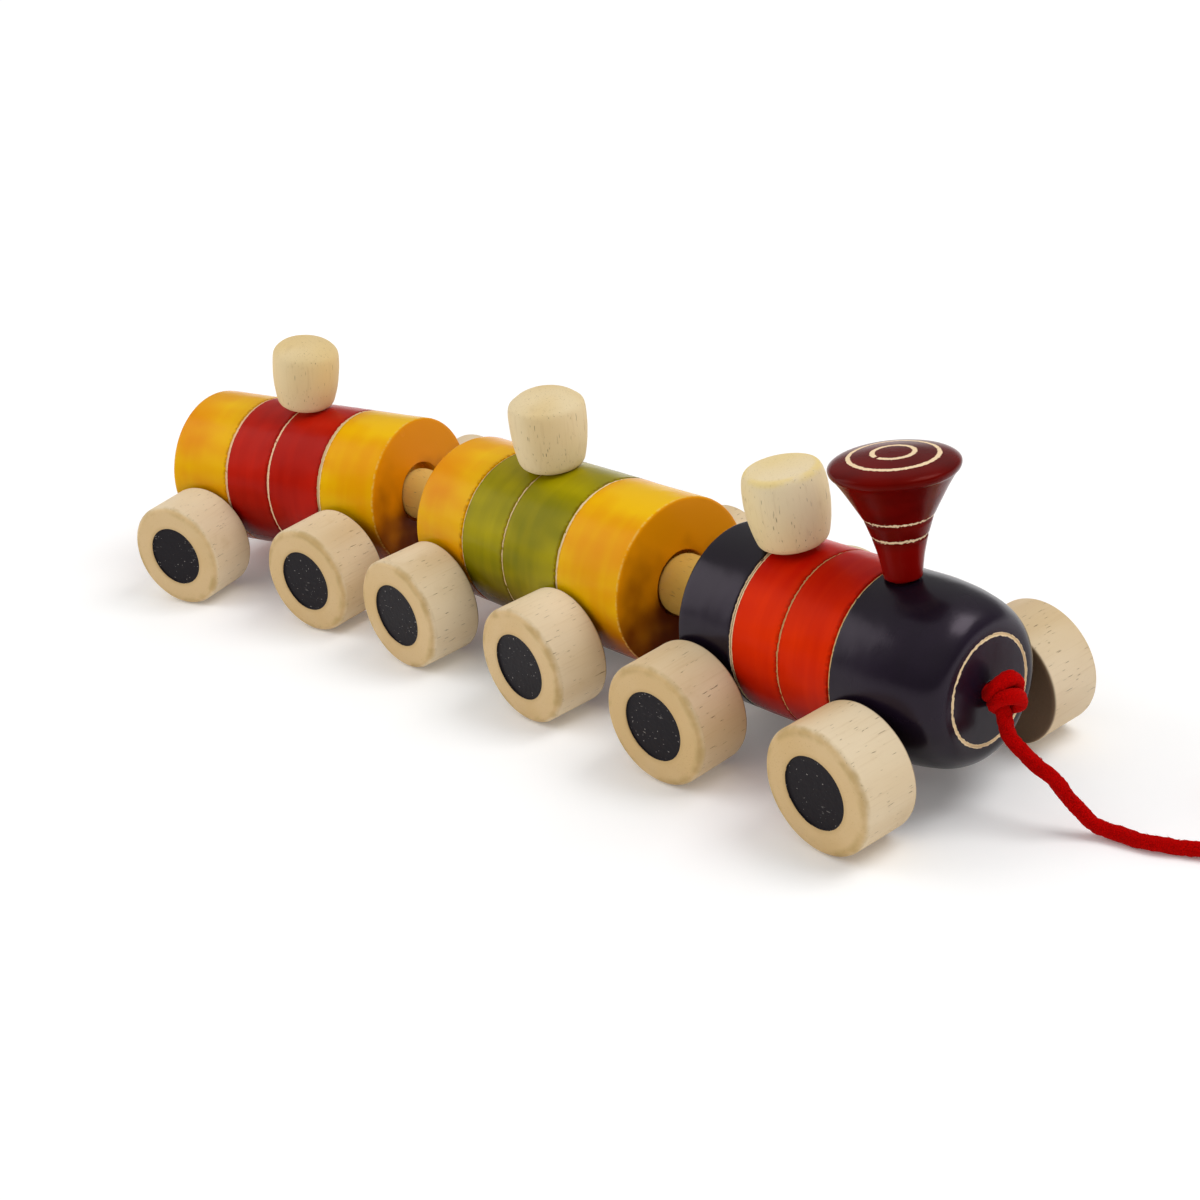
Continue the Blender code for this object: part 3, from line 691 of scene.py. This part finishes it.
def rounded(corners, steps=5):
    """An outline from (radius, height, corner size): each sized corner becomes a smooth arc."""
    outline = []
    for i, (radius, height, size) in enumerate(corners):
        here = Vector((radius, height))
        if size <= 0.0:
            outline.append((radius, height))
            continue
        before = Vector(corners[i - 1][:2]) - here
        after = Vector(corners[(i + 1) % len(corners)][:2]) - here
        start = here + before.normalized() * size
        end = here + after.normalized() * size
        for step in range(steps + 1):
            t = step / steps
            point = start * (1.0 - t) ** 2 + here * 2.0 * t * (1.0 - t) + end * t * t
            outline.append((point.x, point.y))
    return outline


def filled(outline, longest):
    """The outline with its long straight stretches cut into pieces no longer than that."""
    points = [outline[0]]
    for one, two in zip(outline, outline[1:]):
        one, two = Vector(one), Vector(two)
        count = max(1, math.ceil((two - one).length / longest))
        points += [tuple(one.lerp(two, step / count)) for step in range(1, count + 1)]
    return points


def smooth_curve(points, parts):
    """A Catmull-Rom curve through points of any dimension."""
    points = [Vector(point) for point in points]
    knots = [points[0] * 2.0 - points[1], *points, points[-1] * 2.0 - points[-2]]
    curve = []
    for i in range(1, len(knots) - 2):
        a, b, c, d = knots[i - 1:i + 3]
        for part in range(parts):
            t = part / parts
            curve.append(0.5 * (2.0 * b + (c - a) * t + (2.0 * a - 5.0 * b + 4.0 * c - d) * t * t
                                + (3.0 * b - a - 3.0 * c + d) * t * t * t))
    curve.append(points[-1])
    return curve


def finished_mesh(name, shape):
    bmesh.ops.recalc_face_normals(shape, faces=shape.faces)
    mesh = bpy.data.meshes.new(name)
    shape.to_mesh(mesh)
    shape.free()
    mesh.shade_smooth()
    return mesh


def turned(name, outline, sides, closed=False, rough=0.0, seed=0.0):
    """Spin an outline of (radius, height) about Z. rough is the lathe's unevenness in metres."""
    shape = bmesh.new()
    rings = []
    for radius, height in outline:
        if radius < TINY:
            rings.append([shape.verts.new((0.0, 0.0, height))])
            continue
        ring = []
        for side in range(sides):
            angle = FULL_TURN * side / sides
            place = Vector((radius * math.cos(angle), radius * math.sin(angle), height))
            swell = rough * noise.noise(place * 55.0 + Vector((seed, seed, seed)))
            swell += 0.35 * rough * noise.noise(place * 240.0 + Vector((seed, 0.0, 0.0)))
            ring.append(shape.verts.new(place + Vector((place.x, place.y, 0.0)).normalized() * swell))
        rings.append(ring)
    pairs = list(zip(rings, rings[1:]))
    if closed:
        pairs.append((rings[-1], rings[0]))
    for one, two in pairs:
        for side in range(sides):
            after = (side + 1) % sides
            here = (one[side % len(one)], one[after % len(one)])
            there = (two[after % len(two)], two[side % len(two)])
            corners = list(dict.fromkeys(here + there))
            if len(corners) > 2:
                shape.faces.new(corners)
    mesh = finished_mesh(name, shape)
    mesh.set_sharp_from_angle(angle=math.radians(SMOOTH_ANGLE))
    return mesh


def add_piece(name, mesh, materials, matrix, body, replaced):
    """Put a piece in place in the row's frame, on its body, in place of its CAD nodes."""
    for material in materials:
        mesh.materials.append(material)
    piece = add_object(name, mesh)
    piece.matrix_world = matrix
    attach(piece, body)
    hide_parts(*replaced)
    return piece


def turn_about(axis, degrees):
    return Matrix.Rotation(math.radians(degrees), 4, axis)


def shift_x(along, height=0.0):
    return Matrix.Translation((along, 0.0, height))


def facing(origin, forward):
    """A frame at the origin with its X along forward, seen from above."""
    return Matrix.Translation(origin) @ Matrix.Rotation(math.atan2(forward.y, forward.x), 4, "Z")


def car_frame(car, rear_axle):
    """A car's frame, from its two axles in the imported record."""
    rear = Vector(JOINTS[car + "_rear_roll"]["pos_m"])
    front = Vector(JOINTS[car + "_front_roll"]["pos_m"])
    forward = (front - rear).normalized()
    origin = rear - forward * rear_axle
    origin.z = 0.0
    return facing(origin, forward)


# ---------------------------------------------------------------- cars


def groove_corners(radius, place, strokes):
    """A turned line: a shallow round-bottomed cut, front edge first."""
    half = 0.5 * line_width(strokes)
    return [
        (radius, place + half, GROOVE_ROUND),
        (radius - GROOVE_DEPTH, place + 0.3 * half, GROOVE_ROUND),
        (radius - GROOVE_DEPTH, place - 0.3 * half, GROOVE_ROUND),
        (radius, place - half, GROOVE_ROUND),
    ]


def socket_corners(face, inward):
    bottom = face + inward * SOCKET_DEPTH
    return [(SOCKET_RADIUS, face, 0.5 * MM), (SOCKET_RADIUS, bottom, 0.4 * MM), (CORD_BORE, bottom, 0.3 * MM)]


def rear_corners(radius):
    return [(radius, 0.0, BODY_EDGE), *socket_corners(0.0, 1.0)]


def nose_corners():
    """The bullet nose as points of a superellipse, behind a rounded edge."""
    points = [(NOSE_FACE_RADIUS, NOSE_FACE, 0.5 * MM)]
    for step in range(1, NOSE_STEPS + 1):
        angle = 0.5 * math.pi * (1.0 - step / NOSE_STEPS)
        along = math.sin(angle) ** (2.0 / NOSE_POWER)
        out = math.cos(angle) ** (2.0 / NOSE_POWER)
        radius = NOSE_FACE_RADIUS + (ENGINE_RADIUS - NOSE_FACE_RADIUS) * out
        points.append((radius, NOSE_START + (NOSE_FACE - NOSE_START) * along, 0.0))
    return points


def engine_outline():
    corners = [
        (CORD_BORE, NOSE_FACE, 0.4 * MM),
        (NOSE_RING_RADIUS - NOSE_RING_HALF, NOSE_FACE, 0.15 * MM),
        (NOSE_RING_RADIUS, NOSE_FACE - GROOVE_DEPTH, 0.2 * MM),
        (NOSE_RING_RADIUS + 0.6 * NOSE_RING_HALF, NOSE_FACE, 0.1 * MM),
        *nose_corners(),
    ]
    for place, strokes in reversed(ENGINE_LINES):
        corners += groove_corners(ENGINE_RADIUS, place, strokes)
    corners += rear_corners(ENGINE_RADIUS)
    return filled(rounded(corners), FACET)


def radius_at(radii, length, place):
    """A tapered coach's radius at a place along it."""
    return radii[0] + (radii[1] - radii[0]) * place / length


def coach_outline(radii, length, lines):
    corners = [*reversed(socket_corners(length, -1.0)), (radii[1], length, BODY_EDGE)]
    for place, strokes in reversed(lines):
        corners += groove_corners(radius_at(radii, length, place), place, strokes)
    corners += rear_corners(radii[0])
    return filled(rounded(corners), FACET)


def body_mesh(name, outline, seed):
    """A turned body, laid along its car's X."""
    mesh = turned(name, outline, BODY_SIDES, closed=True, rough=0.16 * MM, seed=seed)
    mesh.transform(shift_x(0.0, AXIS_HEIGHT) @ turn_about("Y", 90.0))
    return mesh


def wheel_outline():
    """Half a wheel's section: hub, face, rim, back, and the blind bore for the axle."""
    across, along = WHEEL_CHAMFER
    bore = AXLE_RADIUS + AXLE_GAP
    corners = [
        (0.0, WHEEL_WIDTH - HUB_DEPTH, 0.0),
        (HUB_RADIUS - HUB_SLOPE, WHEEL_WIDTH - HUB_DEPTH, 0.2 * MM),
        (HUB_RADIUS, WHEEL_WIDTH, 0.25 * MM),
        (WHEEL_RADIUS - across, WHEEL_WIDTH, 0.45 * MM),
        (WHEEL_RADIUS, WHEEL_WIDTH - along, 0.5 * MM),
        (WHEEL_RADIUS, 0.0, WHEEL_BACK_ROUND),
        (bore, 0.0, 0.3 * MM),
        (bore, WHEEL_BORE_DEPTH, 0.0),
        (0.0, WHEEL_BORE_DEPTH, 0.0),
    ]
    return filled(rounded(corners), 1.6 * MM)


def wheel_mesh(name, seed):
    """A turned wheel with paint on its sunken hub, no larger than its true radius."""
    mesh = turned(name, wheel_outline(), WHEEL_SIDES, rough=0.10 * MM, seed=seed)
    low = WHEEL_WIDTH - HUB_DEPTH - 0.2 * MM
    for face in mesh.polygons:
        centre = face.center
        painted = centre.z > low and math.hypot(centre.x, centre.y) < HUB_RADIUS - 0.05 * MM
        face.material_index = 1 if painted and centre.z < WHEEL_WIDTH - 0.08 * MM else 0
    top = max(math.hypot(vertex.co.x, vertex.co.y) for vertex in mesh.vertices)
    if top > WHEEL_RADIUS:
        mesh.transform(Matrix.Diagonal((WHEEL_RADIUS / top, WHEEL_RADIUS / top, 1.0, 1.0)))
    return mesh


def axle_mesh(name):
    corners = [
        (0.0, AXLE_REACH, 0.0),
        (AXLE_RADIUS, AXLE_REACH, 0.5 * MM),
        (AXLE_RADIUS, -AXLE_REACH, 0.5 * MM),
        (0.0, -AXLE_REACH, 0.0),
    ]
    return turned(name, filled(rounded(corners), 4.0 * MM), AXLE_SIDES, rough=0.05 * MM)


def add_wheelsets(car, car_matrix, axles):
    draw = random.Random(car)
    inner = WHEEL_OUTER_Y - WHEEL_WIDTH
    for end, (place, skew) in zip(("rear", "front"), axles):
        name = car + "_" + end
        body = name + "_wheelset"
        height = JOINTS[name + "_roll"]["pos_m"][2]
        spin = car_matrix @ shift_x(place, height) @ turn_about("Z", skew)
        axle = name + "_axle_dowel"
        add_piece(axle, axle_mesh(axle), [WOOD_DOWEL], spin @ turn_about("X", 90.0), body,
                  [name + "_axle"])
        for hand, side in (("right", -1.0), ("left", 1.0)):
            seat = spin @ Matrix.Translation((0.0, side * inner, 0.0)) @ turn_about("X", -90.0 * side)
            wheel = name + "_" + hand + "_turned_wheel"
            add_piece(wheel, wheel_mesh(wheel, draw.uniform(0.0, 90.0)), [WOOD_WHEEL, HUB_PAINT], seat, body,
                      [name + "_" + hand + "_wheel"])


def peg_outline(radius, height, domed, lift):
    """A barrel knob on its tenon, the sides and crown as one smooth curve."""
    crown = height + lift
    barrel = smooth_curve([
        (0.0, crown),
        (radius * (0.45 - 0.12 * domed), crown - 0.12 * MM),
        (radius * (0.74 - 0.12 * domed), crown - 0.35 * MM - 0.05 * height * domed),
        (radius * (0.90 - 0.08 * domed), crown - 0.06 * height * (1.0 + 1.2 * domed)),
        (radius * 0.975, crown - 0.20 * height),
        (radius, crown - 0.42 * height),
        (radius * 0.965, crown - 0.66 * height),
        (radius * 0.87, lift + 0.10 * height),
        (radius * 0.80, lift + 0.03 * height),
    ], 6)
    outline = [(max(0.0, point[0]), point[1]) for point in barrel]
    outline += [(PEG_FOOT * radius, lift), (PEG_TENON_RADIUS, lift), (PEG_TENON_RADIUS, -PEG_TENON_DEPTH),
                (0.0, -PEG_TENON_DEPTH)]
    return filled(outline, 1.5 * MM)


def add_peg(car, car_matrix, top, peg, material, seed):
    """Stand a peg on its car, whose body is top high there, lifted so that its leaning foot just clears."""
    name = car + "_peg"
    piece = name + "_knob"
    place, radius, height, domed, lean = peg
    lift = PEG_GAP + abs(math.sin(math.radians(lean[1]))) * PEG_FOOT * radius
    outline = peg_outline(radius, height, domed, lift)
    mesh = turned(piece, outline, PEG_SIDES, rough=0.22 * MM, seed=seed)
    seat = car_matrix @ shift_x(place, top) @ turn_about("Y", lean[1]) @ turn_about("X", lean[0])
    add_piece(piece, mesh, [material], seat, car, [name])


def funnel_outline():
    """The funnel's profile in metres, squat above the body and plain on the tenon inside it."""
    outline = []
    for points, parts in FUNNEL_PROFILE:
        stretch = smooth_curve([(radius * MM, height * MM) for radius, height in points], parts)
        outline += [(max(0.0, point[0]), point[1] * FUNNEL_SQUAT) for point in stretch]
    return filled([*outline, *FUNNEL_TENON], 1.5 * MM)


def add_funnel(car_matrix):
    seat = car_matrix @ shift_x(FUNNEL_X, AXIS_HEIGHT + ENGINE_RADIUS)
    seat = seat @ turn_about("Y", FUNNEL_TURN[1]) @ turn_about("X", FUNNEL_TURN[0])
    mesh = turned("turned_funnel", funnel_outline(), FUNNEL_SIDES, rough=0.10 * MM, seed=4.0)
    add_piece("turned_funnel", mesh, [FUNNEL_LACQUER], seat, "engine", ["funnel"])


def add_coupler(name, radius, rear_joint, front_joint, seed):
    """A turned dowel with domed tips and the cord's bore, between its two swing points."""
    rear = Vector(JOINTS[rear_joint]["pos_m"])
    forward = Vector(JOINTS[front_joint]["pos_m"]) - rear
    start, end = COUPLER_END_GAP, forward.length - COUPLER_END_GAP
    tip = [(CORD_BORE + 0.2 * MM, 0.0)] + [(share * radius, depth * MM) for share, depth in COUPLER_TIP]
    outline = [(out, end - depth) for out, depth in tip]
    outline += [(out, start + depth) for out, depth in reversed(tip)]
    outline += [(CORD_BORE, start + 0.4 * MM), (CORD_BORE, end - 0.4 * MM)]
    piece = name + "_bored_dowel"
    mesh = turned(piece, filled(outline, 2.0 * MM), COUPLER_SIDES, closed=True, rough=0.12 * MM, seed=seed)
    swing = facing(rear, forward)
    add_piece(piece, mesh, [WOOD_DOWEL], swing @ turn_about("Y", 90.0), name,
              [name + "_dowel"])
    add_inner_cord(name, swing @ shift_x(start), end - start)


# ---------------------------------------------------------------- cord


def even_points(curve, step):
    """Points at an even step along a fine polyline."""
    lengths = [0.0]
    for one, two in zip(curve, curve[1:]):
        lengths.append(lengths[-1] + (two - one).length)
    count = max(2, round(lengths[-1] / step))
    points = []
    here = 0
    for i in range(count + 1):
        target = lengths[-1] * i / count
        while here < len(curve) - 2 and lengths[here + 1] < target:
            here += 1
        stretch = max(TINY, lengths[here + 1] - lengths[here])
        points.append(curve[here].lerp(curve[here + 1], (target - lengths[here]) / stretch))
    return points


def cord_mesh(name, path, radius, seed, hairs_per_metre, lowest=None):
    """A twisted cord of three soft plies along a path, felted and fuzzy; it lies flat at lowest."""
    draw = random.Random(seed)
    step = (path[1] - path[0]).length
    shape = bmesh.new()
    forward = (path[1] - path[0]).normalized()
    side = forward.orthogonal().normalized()
    rings = []
    for i, point in enumerate(path):
        after = path[min(i + 1, len(path) - 1)] - path[max(i - 1, 0)]
        turn = forward.rotation_difference(after.normalized())
        forward = after.normalized()
        side = (turn @ side).normalized()
        up = forward.cross(side)
        close = min(i, len(path) - 1 - i) * step / (0.8 * radius)
        cap = math.sqrt(max(0.04, 1.0 - (1.0 - min(1.0, close)) ** 2))
        ring = []
        for k in range(CORD_SIDES):
            angle = FULL_TURN * k / CORD_SIDES
            ply = 0.5 + 0.5 * math.cos(3.0 * (angle + FULL_TURN * i * step / (3.0 * CORD_TWIST)))
            out = side * math.cos(angle) + up * math.sin(angle)
            place = point + out * radius
            felt = sum(noise.noise(place * scale) * depth for scale, depth in FELT)
            ring.append(shape.verts.new(point + out * radius * cap * (0.87 + 0.13 * ply ** 0.6 + felt)))
        rings.append(ring)
    for one, two in zip(rings, rings[1:]):
        for k in range(CORD_SIDES):
            after = (k + 1) % CORD_SIDES
            shape.faces.new([one[k], one[after], two[after], two[k]])
    shape.faces.new(rings[0])
    shape.faces.new(rings[-1])
    length = step * (len(path) - 1)
    for _ in range(round(length * hairs_per_metre)):
        add_hair(shape, draw, rings)
    if lowest is not None:
        for vertex in shape.verts:
            vertex.co.z = max(vertex.co.z, lowest)
    return finished_mesh(name, shape)


def add_hair(shape, draw, rings):
    """One loose fibre: a thin bent three-sided spike that leaves the surface at a slant."""
    i = draw.randrange(2, len(rings) - 3)
    k = draw.randrange(len(rings[i]))
    root = rings[i][k].co.copy()
    centre = sum((vertex.co for vertex in rings[i]), Vector()) / len(rings[i])
    out = (root - centre).normalized()
    along = (rings[i + 1][k].co - rings[i][k].co).normalized() * draw.choice((-1.0, 1.0))
    across = out.cross(along)
    reach = draw.uniform(0.5, 1.9) * MM
    lean = draw.uniform(0.3, 1.0)
    first = root + (along * 0.9 + out * 0.35 * lean + across * draw.uniform(-0.4, 0.4)) * reach * 0.55
    tip = first + (along * 0.5 + out * 0.75 * lean + across * draw.uniform(-0.7, 0.7)) * reach * 0.55
    thick = draw.choice((0.05, 0.06, 0.08, 0.08, 0.16)) * MM
    base = root - out * 0.1 * MM
    corners = []
    for place, share in ((base, 1.0), (first, 0.8)):
        ring = []
        for corner in range(3):
            angle = FULL_TURN * corner / 3.0
            offset = (across * math.cos(angle) + out.lerp(along, 0.3) * math.sin(angle)) * thick * share
            ring.append(shape.verts.new(place + offset))
        corners.append(ring)
    end = shape.verts.new(tip)
    for corner in range(3):
        after = (corner + 1) % 3
        shape.faces.new([corners[0][corner], corners[0][after], corners[1][after], corners[1][corner]])
        shape.faces.new([corners[1][corner], corners[1][after], end])
    shape.faces.new(corners[0])


def smooth_step(value, low, high):
    """0 below low, 1 above high, and smooth between them."""
    t = min(1.0, max(0.0, (value - low) / (high - low)))
    return t * t * (3.0 - 2.0 * t)


def coil_points():
    """The stored length: outer and inner turns on the floor, the same on top, and the end inside."""
    points = []
    for degrees in COIL_DEGREES:
        inside = smooth_step(degrees, *COIL_INWARD) - smooth_step(degrees, *COIL_OUTWARD)
        inside += smooth_step(degrees, *COIL_INWARD_AGAIN)
        entry = 1.0 - smooth_step(degrees, *COIL_JOIN)
        radius = COIL_OUTER + (COIL_INNER - COIL_OUTER) * inside + COIL_ENTRY_SPREAD * entry
        radius += (TAIL_RADIUS - COIL_INNER) * smooth_step(degrees, *TAIL_INWARD)
        height = COIL_LOW + (COIL_HIGH - COIL_LOW) * smooth_step(degrees, *COIL_CLIMB)
        height += (COIL_LOW - COIL_HIGH) * smooth_step(degrees, *TAIL_DROP)
        angle = math.radians(COIL_ENTRY + degrees)
        points.append(COIL_CENTRE + Vector((radius * math.cos(angle), radius * math.sin(angle), height)))
    return points


def knot_mesh(name, width):
    """An overhand knot pulled up tight, its lobes as one closed cord."""
    scale = (0.5 * width - 0.85 * CORD_RADIUS) / 3.0
    points = []
    for step in range(KNOT_POINTS + 1):
        t = FULL_TURN * step / KNOT_POINTS
        points.append(Vector((
            (math.sin(t) + 2.0 * math.sin(2.0 * t)) * scale,
            (math.cos(t) - 2.0 * math.cos(2.0 * t)) * scale,
            -math.sin(3.0 * t) * scale * 1.25,
        )))
    return cord_mesh(name, even_points(points, KNOT_STEP), 0.96 * CORD_RADIUS, name, KNOT_HAIRS)


def nose_knot_mesh(name):
    """The knot at the nose: out of the bore, over the top, round behind and across the front."""
    fine = smooth_curve([Vector(place) * MM for place in NOSE_KNOT_ROUTE], CURVE_PARTS)
    return cord_mesh(name, even_points(fine, KNOT_STEP), 1.04 * CORD_RADIUS, name, KNOT_HAIRS)


def add_inner_cord(car, start, length):
    """A straight stretch of the cord inside a car or a coupler."""
    path = even_points([Vector(), Vector((length, 0.0, 0.0))], INNER_CORD_STEP)
    name = "twisted_cord_in_" + car
    mesh = cord_mesh(name, path, CORD_RADIUS, car, 0)
    add_piece(name, mesh, [CORD], start, car, ["cord_in_" + car])


def add_knot(name, node, body, width, turns, shift=(0.0, 0.0, 0.0)):
    low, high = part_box(node)
    matrix = Matrix.Translation((low + high) * 0.5 + Vector(shift))
    for axis, degrees in turns:
        matrix = matrix @ turn_about(axis, degrees)
    return add_piece(name, knot_mesh(name, width), [CORD], matrix, body, [node])


def add_free_cord():
    """The cord from the nose knot to the coil, the coil itself, and the knot at its end."""
    fine = smooth_curve(CORD_ROUTE + [tuple(point) for point in coil_points()], CURVE_PARTS)
    path = even_points(fine, CORD_STEP)
    mesh = cord_mesh("pull_cord_twisted", path, CORD_RADIUS, "pull", CORD_HAIRS, lowest=0.0)
    cord = add_piece("pull_cord_twisted", mesh, [CORD], Matrix.Identity(4), "engine",
                     ["pull_cord", "pull_cord_coil"])
    end_knot = add_knot("end_knot_tied", "end_knot", "engine", END_KNOT_WIDTH, END_KNOT_TURNS, END_KNOT_LIFT)


# ---------------------------------------------------------------- the train


def build_engine():
    car = car_frame("engine", ENGINE_AXLES[0][0])
    lacquer = lacquer_material("engine_bands", NOSE_FACE, ENGINE_LINES, (BLACK_LACQUER, LIT_PURPLE_LACQUER, 0.6),
                               (DEEP_RED, LIT_ORANGE_RED, 0.35), ENGINE_UNDERSIDE_SHADE, BLACK_SHEEN)
    mesh = body_mesh("engine_turned_body", engine_outline(), 1.0)
    add_piece("engine_turned_body", mesh, [lacquer], car, "engine", ["engine_body"])
    add_wheelsets("engine", car, ENGINE_AXLES)
    add_funnel(car)
    add_peg("engine", car, AXIS_HEIGHT + ENGINE_RADIUS, ENGINE_PEG, WOOD_PEG, 7.0)
    add_inner_cord("engine", car @ shift_x(SOCKET_DEPTH, AXIS_HEIGHT), NOSE_FACE - SOCKET_DEPTH)
    add_piece("nose_knot_tied", nose_knot_mesh("nose_knot_tied"), [CORD],
              car @ shift_x(NOSE_FACE + NOSE_KNOT_AHEAD, AXIS_HEIGHT), "engine", ["nose_knot"])


def build_coach(name, lacquer, radii, length, lines, axles, peg, seed):
    car = car_frame(name, axles[0][0])
    mesh = body_mesh(name + "_turned_body", coach_outline(radii, length, lines), seed)
    add_piece(name + "_turned_body", mesh, [lacquer], car, name,
              [name + "_body"])
    add_wheelsets(name, car, axles)
    add_peg(name, car, AXIS_HEIGHT + radius_at(radii, length, peg[0]), peg, WOOD_KNOB, seed + 3.0)
    add_inner_cord(name, car @ shift_x(SOCKET_DEPTH, AXIS_HEIGHT), length - 2.0 * SOCKET_DEPTH)


def build_train():
    build_engine()
    green = lacquer_material("green_bands", GREEN_LENGTH, GREEN_LINES, (ORANGE, LIT_AMBER, 0.95),
                             (OLIVE, LIT_LIME, 0.7), GREEN_UNDERSIDE_SHADE)
    build_coach("green_coach", green, GREEN_RADII, GREEN_LENGTH, GREEN_LINES, GREEN_AXLES, GREEN_PEG, 12.0)
    red = lacquer_material("red_bands", RED_LENGTH, RED_LINES, (ORANGE, LIT_AMBER, 0.9),
                           (DARK_CRIMSON, LIT_CRIMSON, 0.5), RED_UNDERSIDE_SHADE)
    build_coach("red_coach", red, RED_RADII, RED_LENGTH, RED_LINES, RED_AXLES, RED_PEG, 21.0)
    add_knot("tail_knot_tied", "tail_knot", "red_coach", TAIL_KNOT_WIDTH, TAIL_KNOT_TURNS)
    add_coupler("front_coupler", FRONT_COUPLER_RADIUS, "green_coach_swing", "front_coupler_swing", 8.64)
    add_coupler("rear_coupler", REAR_COUPLER_RADIUS, "red_coach_swing", "rear_coupler_swing", 7.92)


add_camera()
add_light()
add_floor(floor_material())
CORD = cord_material()
add_free_cord()
WOOD_WHEEL = wood_material("wheel_wood", PALE_WOOD, TAN_WOOD, ringed=0.7)
WOOD_DOWEL = wood_material("dowel_wood", DOWEL_WOOD, YELLOW_WOOD)
WOOD_PEG = wood_material("peg_wood", *PEG_WOODS, crown=(ENGINE_PEG[1], CROWN_HEIGHT))
WOOD_KNOB = wood_material("knob_wood", *KNOB_WOODS)
HUB_PAINT = hub_material()
FUNNEL_LACQUER = funnel_material()
build_train()
